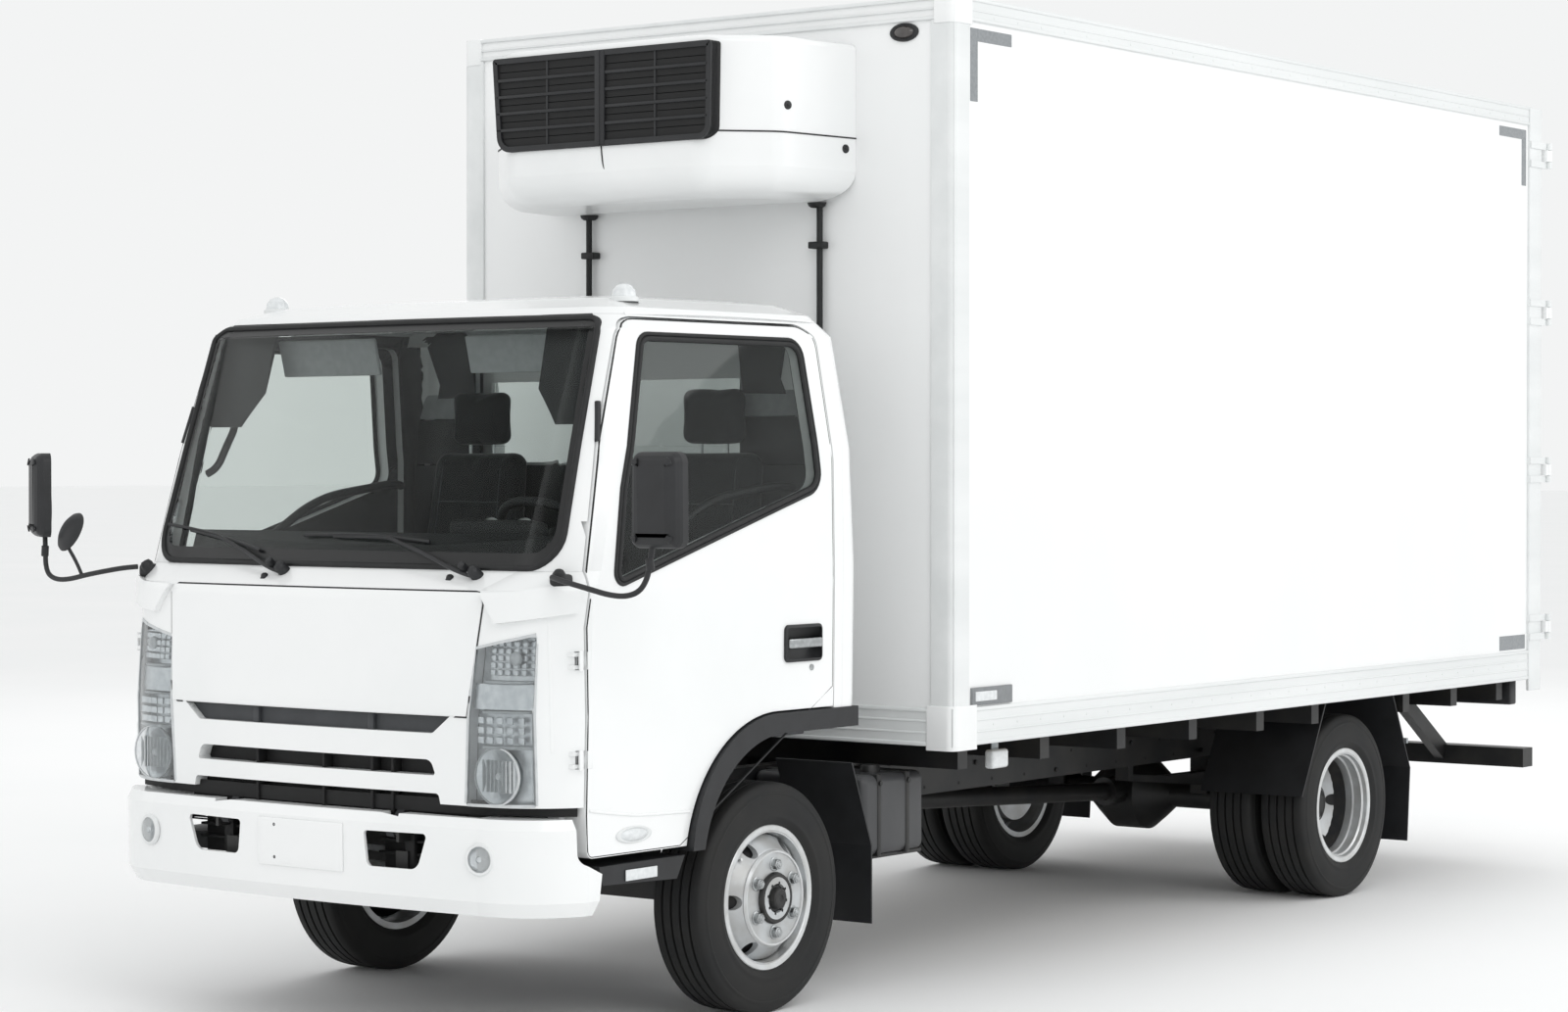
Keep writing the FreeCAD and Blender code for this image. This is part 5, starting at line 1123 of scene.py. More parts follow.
# mirrors
def makeMirrors():
    mirror = {"x": 1.344, "y": -3.292, "z": 1.689, "halfX": 0.095, "halfZ": 0.142, "deep": 0.072}
    face = roundCorners([(-mirror["halfX"], -mirror["halfZ"], 0.030),
                         (-mirror["halfX"] * 0.97, mirror["halfZ"], 0.034),
                         (mirror["halfX"] * 0.97, mirror["halfZ"], 0.034),
                         (mirror["halfX"], -mirror["halfZ"], 0.030)], 6)
    shell = slab("mirror_shell", [(mirror["x"] + u, mirror["y"] + 0.030, mirror["z"] + v) for u, v in face],
                 (0, -0.026, 0))
    # domed back: each step smaller and further forward
    pickFaces(shell, lambda middle, normal: normal.y < -0.9)
    for thickness, forward in ((0.004, 0.010), (0.008, 0.010), (0.014, 0.008), (0.018, 0.004)):
        bpy.ops.mesh.inset(thickness=thickness)
        bpy.ops.transform.translate(value=(0, -forward, 0))
    leave()
    # rim round the glass
    pickFaces(shell, lambda middle, normal: normal.y > 0.9)
    bpy.ops.mesh.inset(thickness=0.007)
    bpy.ops.mesh.extrude_region_move(TRANSFORM_OT_translate={"value": (0, -0.006, 0)})
    leave()
    soften(shell, 0.0015, 2, 50)
    glass = slab("mirror_glass", [(mirror["x"] + u, mirror["y"] + 0.0245, mirror["z"] + v)
                                  for u, v in grown(face, -0.0075)], (0, 0.0025, 0), 0.0005)
    arm = tube("arm", [(1.322, -3.285, 1.560), (1.314, -3.290, 1.490), (1.306, -3.296, 1.450),
                       (1.283, -3.302, 1.418),
                       (1.235, -3.306, 1.404), (1.170, -3.306, 1.408), (1.094, -3.304, 1.424),
                       (1.000, -3.290, 1.440),
                       (0.940, -3.272, 1.450), (0.905, -3.250, 1.453)], 0.0085)
    stem = tube("stem", [(1.322, -3.272, 1.565), (1.322, -3.262, 1.62), (1.330, -3.262, 1.70)], 0.009)
    # bracket on the corner of the cab
    where = onPanel("cab_front_panel", (0.900, -3.7, 1.445), (0, 1, 0))
    y = where.y if where else -3.235
    foot = block("foot", (0.868, y - 0.030, 1.418), (0.930, y + 0.020, 1.462), 0.012, 3)
    boss = lathe("boss", [(-0.02, 0.022), (0.016, 0.021), (0.028, 0.014), (0.030, 0.0001)],
                 (0.896, y - 0.012, 1.447),
                 (0.35, -0.35, 0.87), 24)
    clamp = lathe("clamp", [(-0.018, 0.0001), (-0.018, 0.0125), (0.018, 0.0125), (0.018, 0.0001)],
                  (1.316, -3.290, 1.500), (0.12, 0.05, -1), 20, 0.002)
    body = together("mirror_arm", [arm, stem, foot, boss, clamp])
    bothSides(body, "grainedAbs", ("cab", "cab"), "black_plastic", (["door_mirrors"], ()))
    shells = bothSides(shell, "grainedAbs", ("cab", "cab"), "black_plastic")
    glasses = bothSides(glass, "silveredGlass", ("cab", "cab"))
    # the far head is turned towards the driver
    hinge = Vector((-mirror["x"], mirror["y"], 0))
    for piece in (shells[1], glasses[1]):
        piece.data.transform(Matrix.Translation(hinge) @ Matrix.Rotation(math.radians(-34), 4, "Z")
                             @ Matrix.Translation(-hinge))
    # a second, round mirror on the far arm that shows the front corner
    spot = (-1.189, -3.296, 1.569)
    way = (0.25, 0.86, -0.42)
    dish = lathe("dish", [(-0.020, 0.0001), (-0.019, 0.022), (-0.010, 0.050), (0.000, 0.066), (0.008, 0.0705),
                          (0.011, 0.0690), (0.008, 0.064)], spot, way, 48)
    rod = tube("rod", [(-1.189, -3.312, 1.560), (-1.175, -3.318, 1.52), (-1.150, -3.312, 1.485),
                       (-1.128, -3.306, 1.445), (-1.115, -3.305, 1.420)], 0.006)
    finish(together("corner_mirror_shell", [dish, rod]), "grainedAbs", "cab", "black_plastic")
    glass = lathe("corner_mirror_glass", [(0.008, 0.0645), (0.012, 0.045), (0.0145, 0.022), (0.015, 0.0001)],
                  spot,
                   way, 48)
    finish(glass, "silveredGlass", "cab")


makeMirrors()
print("mirrors made")


# insulated box
boxTrim = {"sideX": 1.112, "skinX": 1.106, "frontY": -1.394, "rearY": 3.234, "low": 0.826, "railTop": 0.957,
           "topRail": 3.313, "top": 3.397}


def ribAround(name, z, half, proud):
    # one raised bead of the edge rail, along both sides and across the front
    t = boxTrim
    side = block(name + "_side", (t["sideX"] - 0.003, t["frontY"] + 0.03, z - half),
                 (t["sideX"] + proud, t["rearY"], z + half), min(proud, half) * 0.7, 3)
    far = copyOf(side, name + "_far", flip=True)
    front = block(name + "_front", (-t["sideX"] + 0.03, t["frontY"] - proud, z - half),
                  (t["sideX"] - 0.03, t["frontY"] + 0.004, z + half), min(proud, half) * 0.7, 3)
    return [side, far, front]


def makeBoxTrim():
    t = boxTrim
    beads = []
    for number, (z, half, proud) in enumerate(((0.950, 0.007, 0.005), (0.912, 0.004, 0.003),
                                               (0.872, 0.004, 0.003),
                                               (0.834, 0.007, 0.005))):
        beads += ribAround(f"low_{number}", z, half, proud)
    for number, (z, half, proud) in enumerate(((3.320, 0.006, 0.004), (3.352, 0.003, 0.0025),
                                               (3.388, 0.006, 0.004))):
        beads += ribAround(f"high_{number}", z, half, proud)
    finish(together("box_rail_beads", beads), "coatedExtrusion", "chassis", "aluminium_edge")
    # rounded corner posts, L-shaped seen from above
    plan = roundCorners([(1.020, -1.3965, 0.003), (1.1165, -1.3965, 0.030), (1.1165, -1.300, 0.003),
                         (1.1050, -1.300, 0.001), (1.1050, -1.3865, 0.018), (1.020, -1.3865, 0.001)], 6)
    post = slab("box_corner_post", [(x, y, t["railTop"]) for x, y in plan],
                (0, 0, t["topRail"] - t["railTop"]))
    bothSides(post, "coatedExtrusion", ("chassis", "chassis"), "aluminium_edge")
    # pressed corner caps at the ends of the posts
    caps = []
    for number, (low, high, reach) in enumerate(((0.812, 0.966, 1.000), (3.300, 3.3975, 1.030))):
        plan = roundCorners([(reach, -1.401, 0.010), (1.120, -1.401, 0.036),
                             (1.120, -1.401 + 1.120 - reach + 0.03, 0.010),
                             (1.098, -1.401 + 1.120 - reach + 0.03, 0.002), (1.098, -1.379, 0.020),
                             (reach, -1.379, 0.002)], 6)
        caps.append(slab(f"cap_{number}", [(x, y, low) for x, y in plan], (0, 0, high - low), 0.004, 3))
    bothSides(together("box_corner_cap", caps), "stovedEnamel", ("chassis", "chassis"), "white_box")
    # rear corner posts, down past the rail
    rear = block("box_rear_post", (1.103, 3.236, 0.775), (1.1185, 3.362, 3.394), 0.005, 3)
    bothSides(rear, "coatedExtrusion", ("chassis", "chassis"), "aluminium_edge")
    # rivets along the rails
    rivets = []
    plain = lathe("rivet", [(-0.001, 0.0055), (0.0012, 0.0045), (0.002, 0.0025), (0.0022, 0.0001)], (0, 0, 0),
                  steps=8)
    count = 30
    for step in range(count):
        y = t["frontY"] + 0.10 + (t["rearY"] - t["frontY"] - 0.2) * step / (count - 1)
        for z in (0.892, 3.336):
            rivets.append(copyOf(plain, f"rivet_{step}_{z}", (t["sideX"], y, z)))
    bpy.data.objects.remove(plain)
    bothSides(together("box_rivets", rivets), "coatedExtrusion", ("chassis", "chassis"))


def makeBoxMarkers():
    x = boxTrim["skinX"]
    tapes = []
    for number, (low, high) in enumerate((
            ((-1.282, 3.0405), (-1.237, 3.292)), ((-1.237, 3.2485), (-1.023, 3.292)),
            ((3.170, 3.0405), (3.214, 3.290)), ((2.938, 3.2465), (3.170, 3.290)),
            ((2.952, 0.966), (3.214, 1.029)))):
        tapes.append(block(f"tape_{number}", (x - 0.001, low[0], low[1]), (x + 0.0018, high[0], high[1]),
                           0.0005, 1))
    bothSides(together("box_marks", tapes), "beadTape", ("chassis", "chassis"))
    # side marker with its bright window, front low corner
    holder = block("side_marker_frame", (x - 0.001, -1.279, 0.962), (x + 0.010, -1.026, 1.024), 0.003, 3)
    window = block("side_marker_lens", (x + 0.008, -1.262, 0.976), (x + 0.014, -1.130, 1.010), 0.0035, 3)
    bothSides(holder, "markerGrey", ("chassis", "chassis"))
    bothSides(window, "clearAcrylic", ("chassis", "chassis"), "lamp_clear")
    # lamps hung under the rail on brackets
    lamp = block("under_rail_lamp", (1.012, -1.052, 0.725), (1.052, -0.948, 0.792), 0.012, 4)
    hanger = block("hanger", (1.020, -1.022, 0.785), (1.026, -0.978, 0.850), 0.002)
    bothSides(lamp, "clearAcrylic", ("chassis", "chassis"), "lamp_clear")
    bothSides(hanger, "galvanisedSteel", ("chassis", "chassis"))
    # oval lamps high on the front wall
    rims, lenses = [], []
    for side in (1, -1):
        rim = lathe("rim", [(-0.002, 0.052), (0.006, 0.051), (0.010, 0.046), (0.008, 0.036), (0.004, 0.034)],
                    (0, 0, 0), (0, -1, 0), 32)
        lens = lathe("lens", [(0.006, 0.036), (0.016, 0.028), (0.020, 0.012), (0.0205, 0.0001)], (0, 0, 0),
                     (0, -1, 0), 32)
        for piece in (rim, lens):
            oval = Matrix.Diagonal((1.15, 1, 0.62, 1))
            piece.data.transform(Matrix.Translation((0.906 * side, place["boxFrontY"], 3.279)) @ oval)
        rims.append(rim)
        lenses.append(lens)
    finish(together("front_marker_rims", rims), "grainedAbs", "chassis")
    finish(together("front_marker_lenses", lenses), "smokedAcrylic", "chassis")


makeBoxTrim()
makeBoxMarkers()
print("box trimmed")


# cooling unit
def unitPlan(grow=0.0):
    half = [(0.430, -1.928 - grow, 0.14), (0.640 + grow, -1.745 - grow * 0.7, 0.10),
            (0.700 + grow, -1.388, 0)]
    return roundCorners(half + [(-x, y, r) for x, y, r in reversed(half)], 8)


def makeUnit():
    unit = {"low": 2.705, "high": 3.255, "seam": 2.931, "front": -1.928}
    shell = slab("cooling_unit_shell", [(x, y, unit["low"]) for x, y in unitPlan()],
                 (0, 0, unit["high"] - unit["low"]))
    # the underside runs back and rounds off, the top edge is tighter
    pickFaces(shell, lambda middle, normal: normal.z < -0.9)
    bpy.ops.mesh.region_to_loop()
    bpy.ops.mesh.bevel(offset=0.105, segments=7, profile=0.5, clamp_overlap=False)
    leave()
    pickFaces(shell, lambda middle, normal: normal.z > 0.9)
    bpy.ops.mesh.region_to_loop()
    bpy.ops.mesh.bevel(offset=0.022, segments=4, profile=0.5)
    leave()
    # what the bevels pushed behind the wall is cut off flat
    pickAll(shell)
    bpy.ops.mesh.bisect(plane_co=(0, -1.3885, 0), plane_no=(0, 1, 0), clear_outer=True, use_fill=True)
    leave()
    soften(shell, 0, smooth=50)
    finish(shell, "unitMoulding", "chassis", "unit_white", ["refrigeration_unit"])
    line = [(x, y, unit["seam"] - 0.0025 - 0.012 * max(0, abs(x) - 0.5)) for x, y in unitPlan(0.0006)]
    seam = tube("unit_seam", line, 0.0028, smooth=False, sides=2)
    drop = tube("unit_centre_seam", [(0.000, -1.9290, 2.900), (0.004, -1.9290, 2.850),
                                     (0.012, -1.9262, 2.815),
                                     (0.035, -1.9120, 2.770), (0.070, -1.8900, 2.738),
                                     (0.120, -1.8550, 2.715)],
                0.0026, sides=2)
    grommets = []
    for x, y in ((0.571 - 0.018, -1.416), (-0.501 + 0.018, -1.416)):
        grommets.append(lathe("grommet", [(0.001, 0.0001), (0.001, 0.034), (-0.010, 0.030), (-0.016, 0.022)],
                              (x, y, 2.707), (0, 0, 1), 24))
    finish(together("unit_seams", [seam, drop, *grommets]), "epdmSeal", "chassis")
    latches = []
    for x, y, z, way in ((0.660, -1.712, 3.019, (0.95, -0.32, 0)), (0.697, -1.438, 2.887, (0.98, -0.17, 0))):
        for side in (1, -1):
            hit = shell.ray_cast(Vector((x * 1.4 * side, y, z)), Vector((-side, 0, 0)))
            spot = hit[1] if hit[0] else Vector((x * side, y, z))
            latches.append(lathe("latch", [(-0.003, 0.016), (0.003, 0.015), (0.005, 0.010), (0.005, 0.0001)],
                                 spot,
                                 (way[0] * side, way[1], 0), 20))
            latches.append(block("bolt", spot - Vector((0.009, 0.007, 0.004)),
                                 spot + Vector((0.009, 0.007, 0.004)),
                                 0.002))
    finish(together("unit_latches", latches), "grainedAbs", "chassis")
    # grille: rounded frame, a wide middle post, two columns of five openings each side
    grille = {"low": 2.898, "high": 3.232, "half": 0.490, "proud": 0.010, "post": 0.022, "bar": 0.012,
              "rows": 5, "column": 0.010}
    y = unit["front"]
    outer = roundCorners([(-grille["half"] - 0.004, grille["high"], 0.012),
                          (grille["half"], grille["high"], 0.012),
                          (grille["half"] - 0.006, grille["low"], 0.050),
                          (-grille["half"] + 0.020, grille["low"], 0.060)], 6)
    # the frame follows the shell where it turns the corner
    plate = slab("plate", [(x, y + 0.045, z) for x, z in outer], (0, -0.048, 0))
    border = slab("border", [(x, y + 0.030, z) for x, z in outer], (0, -0.040, 0))
    pickFaces(border, lambda middle, normal: normal.y < -0.9)
    bpy.ops.mesh.inset(thickness=0.020)
    bpy.ops.mesh.extrude_region_move(TRANSFORM_OT_translate={"value": (0, 0.0085, 0)})
    leave()
    soften(border, 0.0015)
    bars = [border]
    for number, x in enumerate((-0.243, 0.0, 0.243)):
        half = grille["post"] if number == 1 else grille["column"] / 2
        bars.append(block(f"post_{number}", (x - half,
                                             y - grille["proud"] - (0.002 if number == 1 else -0.003),
                                             grille["low"] + 0.004),
                          (x + half, y + 0.002, grille["high"] - 0.004), 0.003))
    bars.append(block("post_groove", (-0.002, y - grille["proud"] - 0.004, grille["low"] + 0.004),
                      (0.002, y - grille["proud"], grille["high"] - 0.004), 0.0005, 1))
    step = (grille["high"] - grille["low"] - 0.040) / grille["rows"]
    for row in range(1, grille["rows"]):
        z = grille["low"] + 0.020 + step * row
        for side, (low, high) in enumerate(((-grille["half"] + 0.014, -grille["post"]),
                                            (grille["post"], grille["half"] - 0.014))):
            bars.append(block(f"bar_{row}_{side}", (low, y - grille["proud"], z - grille["bar"] / 2),
                              (high, y + 0.002, z + grille["bar"] / 2), 0.003))
    # thin vanes inside each opening
    for row in range(grille["rows"]):
        z = grille["low"] + 0.020 + step * (row + 0.5)
        bars.append(block(f"vane_{row}", (-grille["half"] + 0.024, y - 0.003, z - 0.0025),
                          (grille["half"] - 0.016, y + 0.006, z + 0.0015), 0.0008, 1))
    finish(together("unit_grille", bars), "grainedAbs", "chassis", "black_plastic")
    # dead black plate behind the grille: painted shade in its openings
    finish(plate, "ductBlack", "chassis")
    plate.name = "unit_grille_painted_shade"
    # hose clips on the wall
    clips = []
    for x in (0.553, -0.483):
        for z in (2.56, 2.0, 1.45):
            clips.append(block("clip", (x - 0.030, -1.430, z - 0.012), (x + 0.030, -1.387, z + 0.012), 0.004))
    finish(together("hose_clips", clips), "epdmSeal", "chassis")


makeUnit()
print("cooling unit made")


# rear end
def makeRear():
    rear = {"face": 3.374, "low": 0.856, "high": 3.388}
    seals, gear, handles = [], [], []
    # door seals: the joint in the middle and round both leaves
    seals.append(block("middle_seal", (-0.0035, rear["face"] - 0.030, rear["low"] + 0.004),
                       (0.0035, rear["face"] + 0.0015, rear["high"] - 0.004), 0.001))
    leaf = [(0.012, rear["low"] + 0.008), (0.012, rear["high"] - 0.010), (1.092, rear["high"] - 0.010),
            (1.092, rear["low"] + 0.008)]
    lip = tube("door_lip", [(x, rear["face"] + 0.001, z) for x, z in leaf + leaf[:1]], 0.006, smooth=False,
               sides=3)
    bothSides(lip, "epdmSeal", ("box_door_left", "box_door_right"))
    finish(together("rear_middle_seal", seals), "epdmSeal", "box_door_left")
    # cams, guides and handles on the lock bars
    for number, x in enumerate((0.170, 0.800)):
        for z in (rear["low"] + 0.030, rear["high"] - 0.055):
            gear.append(block(f"cam_{number}_{z}", (x - 0.034, rear["face"] + 0.002, z - 0.020),
                              (x + 0.034, rear["face"] + 0.038, z + 0.020), 0.006))
        for z in (1.18, 1.75, 2.35, 2.95):
            gear.append(block(f"guide_{number}_{z}", (x - 0.038, rear["face"] - 0.001, z - 0.022),
                              (x + 0.038, rear["face"] + 0.006, z + 0.022), 0.002))
            gear.append(lathe(f"collar_{number}_{z}", [(-0.020, 0.0001), (-0.020, 0.0195), (0.020, 0.0195),
                                                       (0.020, 0.0001)], (x, rear["face"] + 0.0125, z),
                              (0, 0, 1),
                              20, 0.002))
        z = 1.42
        handles.append(block(f"lever_{number}", (x - 0.010, rear["face"] + 0.022, z - 0.014),
                             (x + 0.250 * (-1 if number else 1), rear["face"] + 0.036, z + 0.014)
                             if not number else (x + 0.010, rear["face"] + 0.036, z + 0.014), 0.005))
        if number:
            handles.append(block("lever_arm", (x - 0.250, rear["face"] + 0.022, z - 0.014),
                                 (x + 0.004, rear["face"] + 0.036, z + 0.014), 0.005))
        handles.append(block(f"catch_{number}",
                             (x + (0.215 if not number else -0.245), rear["face"] - 0.001, z - 0.030),
                             (x + (0.245 if not number else -0.215), rear["face"] + 0.024, z + 0.030), 0.006))
    bothSides(together("lock_gear", gear), "zincPlate", ("box_door_left", "box_door_right"))
    bothSides(together("lock_levers", handles), "galvanisedSteel", ("box_door_left", "box_door_right"))
    # tail lamps: three lens fields in each housing
    fields = {"redAcrylic": (0.780, 0.880), "amberAcrylic": (0.886, 0.964), "clearAcrylic": (0.970, 1.040)}
    for name, (low, high) in fields.items():
        lens = block("tail_" + name, (low, 3.238, 0.726), (high, 3.252, 0.816), 0.005, 3)
        bothSides(lens, name, ("chassis", "chassis"), "lamp_red" if name == "redAcrylic" else None)
    housing = block("tail_housing", (0.766, 3.180, 0.712), (1.054, 3.243, 0.830), 0.008, 3)
    bothSides(housing, "grainedAbs", ("chassis", "chassis"), stands=(["tail_lamps"], ()))
    reflectors = [block("rear_reflector", (0.62, 3.312, 0.470), (0.72, 3.318, 0.510), 0.002),
                  block("rear_reflector", (0.44, 3.312, 0.470), (0.54, 3.318, 0.510), 0.002)]
    bothSides(together("bar_reflectors", reflectors), "redAcrylic", ("chassis", "chassis"))
    # plate holder and its lamp
    holder = block("rear_plate_holder", (-0.27, 3.246, 0.640), (0.27, 3.256, 0.770), 0.003)
    lamp = block("plate_lamp", (-0.06, 3.240, 0.772), (0.06, 3.285, 0.800), 0.008, 3)
    finish(holder, "coatedExtrusion", "chassis")
    finish(lamp, "grainedAbs", "chassis")
    # a high marker lamp on the rear frame is made and then removed again
    high = block("rear_high_marker", (1.020, 3.366, 3.330), (1.100, 3.372, 3.372), 0.002)
    bpy.data.objects.remove(high)


makeRear()
print("rear end made")


# under the box
def makeChassisTrim():
    # near side: tank box held by two straps; far side: ribbed battery box with lid
    tank = block("side_tank", (0.405, -1.594, 0.452), (0.878, -1.222, 0.728), 0.030, 5)
    finish(tank, "tankEnamel", "chassis", "fuel_tank_steel", ["fuel_tank"])
    straps = []
    for y in (-1.500, -1.330):
        straps.append(block("strap", (0.400, y - 0.012, 0.448), (0.8815, y + 0.012, 0.732), 0.006, 3))
        straps.append(lathe("strap_bolt", [(0, 0.009), (0.008, 0.009), (0.008, 0.0001)], (0.880, y, 0.700),
                            steps=6))
    straps.append(block("tank_shelf", (0.395, -1.600, 0.440), (0.860, -1.216, 0.453), 0.003))
    straps.append(lathe("filler", [(-0.01, 0.036), (0.020, 0.034), (0.026, 0.030), (0.026, 0.0001)],
                        (0.78, -1.415, 0.728), (0, 0, 1), 32))
    finish(together("tank_straps", straps), "chassisEnamel", "chassis")
    case = block("battery_case", (-0.876, -1.464, 0.452), (-0.402, -0.972, 0.690), 0.012, 3)
    lid = block("lid", (-0.880, -1.468, 0.676), (-0.400, -0.968, 0.728), 0.010, 3)
    ribs = [block("rib", (-0.8795, -1.44 + 0.075 * n, 0.470), (-0.870, -1.425 + 0.075 * n, 0.672), 0.003)
            for n in range(7)]
    finish(together("battery_housing", [case, lid, *ribs]), "grainedAbs", "chassis", stands=["battery_box"])
    # punched holes, drawn as dark discs of painted shade, and bolts along both frame rails
    dots, bolts = [], []
    hole = lathe("hole", [(0, 0.0001), (0.0008, 0.0065), (0.0002, 0.0068)], (0, 0, 0), steps=12)
    bolt = lathe("bolt", [(0, 0.0095), (0.007, 0.0095), (0.008, 0.007), (0.008, 0.0001)], (0, 0, 0), steps=6)
    for step in range(38):
        y = -1.10 + step * 0.115
        for z in ((0.585, 0.690) if step % 2 else (0.655,)):
            where = onPanel("chassis_frame", (0.60, y, z), (-1, 0, 0))
            if where and where.x > 0.3:
                (bolts if step % 5 == 3 else dots).append(copyOf(bolt if step % 5 == 3 else hole,
                                                                 f"spot_{step}_{z}",
                                                                 tuple(where)))
    bpy.data.objects.remove(hole)
    bpy.data.objects.remove(bolt)
    if dots:
        bothSides(together("frame_holes_painted_shade", dots), "ductBlack", ("chassis", "chassis"))
    if bolts:
        bothSides(together("frame_bolts", bolts), "castIron", ("chassis", "chassis"))
    # air lines clipped inside the rail, and the spring clips
    lines = []
    for z, x in ((0.71, 0.408), (0.695, 0.410)):
        lines.append(tube("line", [(x, -0.95, z), (x, 0.2, z - 0.01), (x, 0.9, z), (x, 1.2, z + 0.005)],
                          0.006))
    bothSides(together("air_lines", lines), "epdmSeal", ("chassis", "chassis"))
    clips = []
    for y in (-2.168, 1.677):
        for shift in (-0.070, 0.070):
            clips.append(block("u_bolt", (0.315, y + shift - 0.008, 0.395), (0.397, y + shift + 0.008, 0.575),
                               0.004))
    bothSides(together("spring_clips", clips), "castIron", ("chassis", "chassis"))
    # bars that clamp the flaps behind the rear wheels
    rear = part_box("rear_mudguards")[1][1]
    clamp = block("flap_bar", (0.570, rear - 0.020, 0.600), (1.020, rear - 0.004, 0.622), 0.002)
    bothSides(together("flap_clamps", [clamp]), "galvanisedSteel", ("chassis", "chassis"))


makeChassisTrim()
print("chassis trimmed")


# cab inside
def puffed(piece, voxel, swell, keep):
    # voxel skin, then a cloth run under pressure whose movement is capped
    applyModifier(piece, "REMESH", mode="VOXEL", voxel_size=voxel)
    before = [v.co.copy() for v in piece.data.vertices]
    onlyPick(piece)
    cloth = piece.modifiers.new("cloth", "CLOTH")
    cloth.settings.use_pressure = True
    cloth.settings.uniform_pressure_force = swell
    cloth.settings.effector_weights.gravity = 0
    cloth.settings.quality = 4
    cloth.point_cache.frame_start, cloth.point_cache.frame_end = 1, 20
    for number in range(1, 21):
        bpy.context.scene.frame_set(number)
    bpy.ops.object.modifier_apply(modifier=cloth.name)
    bpy.context.scene.frame_set(1)
    for vertex, first in zip(piece.data.vertices, before):
        step = vertex.co - first
        if step.length > keep:
            vertex.co = first + step.normalized() * keep
    applyModifier(piece, "SMOOTH", factor=0.5, iterations=3)
    return soften(piece, 0, smooth=80)


def stitched(name, piece, spots, way, radius=0.0022):
    # a seam laid on a cushion by rays from the given spots
    line = []
    for spot in spots:
        hit, where, normal, face = piece.ray_cast(Vector(spot), Vector(way))
        if hit:
            line.append(tuple(where + normal * 0.0004))
    return tube(name, line, radius, smooth=True, sides=2) if len(line) > 2 else None


def makeSeats():
    seat = {"x": 0.520, "cushion": ((-0.245, -2.560, 1.105), (0.245, -2.070, 1.232)),
            "back": [(-2.100, 1.218), (-1.988, 1.218), (-1.918, 1.840), (-2.006, 1.840)],
            "head": ((-0.122, -2.000, 1.862), (0.122, -1.924, 2.048)), "voxel": 0.008}
    low, high = seat["cushion"]
    cushion = block("seat_cushion", low, high, 0.040, 6)
    # side bolsters stand up, the front edge rolls down
    for vertex in cushion.data.vertices:
        x, y, z = vertex.co
        if z > 1.17:
            vertex.co.z += 0.012 * (abs(x) / 0.245) ** 3 - 0.020 * max(0, (-2.40 - y) / 0.16) ** 2
    cushion = puffed(cushion, seat["voxel"], 4, 0.010)
    outline = [(-0.232, y, z) for y, z in seat["back"]]
    back = slab("seat_back", outline, (0.464, 0, 0), 0.036, 6)
    for vertex in back.data.vertices:
        x, y, z = vertex.co
        # narrower at the shoulders, hollow between the bolsters
        vertex.co.x *= 1 - 0.20 * max(0, (z - 1.62) / 0.22) ** 2
        if y < -2.0 + (z - 1.218) * 0.11 - 0.035:
            vertex.co.y += 0.012 * (1 - (x / 0.232) ** 2)
    back = puffed(back, seat["voxel"], 4, 0.009)
    low, high = seat["head"]
    head = puffed(block("seat_head", low, high, 0.032, 6), seat["voxel"] * 0.75, 4, 0.006)
    seams = []
    for x in (-0.150, 0.150):
        seams.append(stitched("seam", cushion, [(x, -2.53 + 0.035 * n, 1.40) for n in range(14)], (0, 0, -1)))
        seams.append(stitched("seam", back, [(x * (1 - 0.1 * n / 16), -2.30,
                                              1.25 + 0.035 * n) for n in range(17)],
                              (0, 1, 0)))
    for y in (-2.43, -2.30, -2.17):
        seams.append(stitched("seam", cushion, [(-0.148 + 0.0296 * n, y, 1.40) for n in range(11)],
                              (0, 0, -1)))
    for z in (1.38, 1.52, 1.66):
        seams.append(stitched("seam", back, [(-0.145 + 0.029 * n, -2.30, z) for n in range(11)], (0, 1, 0)))
    seams = [seam for seam in seams if seam]
    posts = [tube("post", [(x, -1.962, 1.80), (x, -1.962, 1.90)], 0.006) for x in (-0.055, 0.055)]
    base = block("seat_base", (-0.200, -2.530, 1.026), (0.200, -2.090, 1.092), 0.012, 3)
    rails = [block("rail", (x - 0.018, -2.540, 1.0255), (x + 0.018, -2.080, 1.040), 0.004) for x in (-0.17,
                                                                                                     0.17)]
    lever = tube("lever", [(0.235, -2.12, 1.130), (0.252, -2.16, 1.128), (0.256, -2.24, 1.136)], 0.008)
    buckle = block("buckle", (-0.262, -2.11, 1.16), (-0.240, -2.07, 1.27), 0.006, 3)
    soft = [(cushion, 0.62), (back, 0.55), (head, 0.7)]
    for side, body in (("driver", 1), ("passenger", -1)):
        shift = (seat["x"] * body, 0, 0)
        stands = f"{side}_seat"
        for piece, fill in soft:
            made = copyOf(piece, f"{side}_{piece.name}", shift)
            finish(made, "seatCloth", "cab", "seat_cloth", [stands])
        for sort, name, finishName in ((seams, "seat_seams", "seamThread"),
                                         ([base, *rails, lever, buckle], "seat_frame", "grainedAbs"),
                                         (posts, "seat_posts", "zincPlate")):
            parts = [copyOf(p, p.name + "_c", shift) for p in sort]
            finish(together(f"{side}_{name}", parts), finishName, "cab")
    for piece in [cushion, back, head, base, lever, buckle, *rails, *posts, *seams]:
        bpy.data.objects.remove(piece)
    # middle seat back, folded down as a console
    console = block("middle_console", (-0.235, -2.500, 1.026), (0.240, -2.120, 1.175), 0.030, 4)
    finish(console, "dashVinyl", "cab")


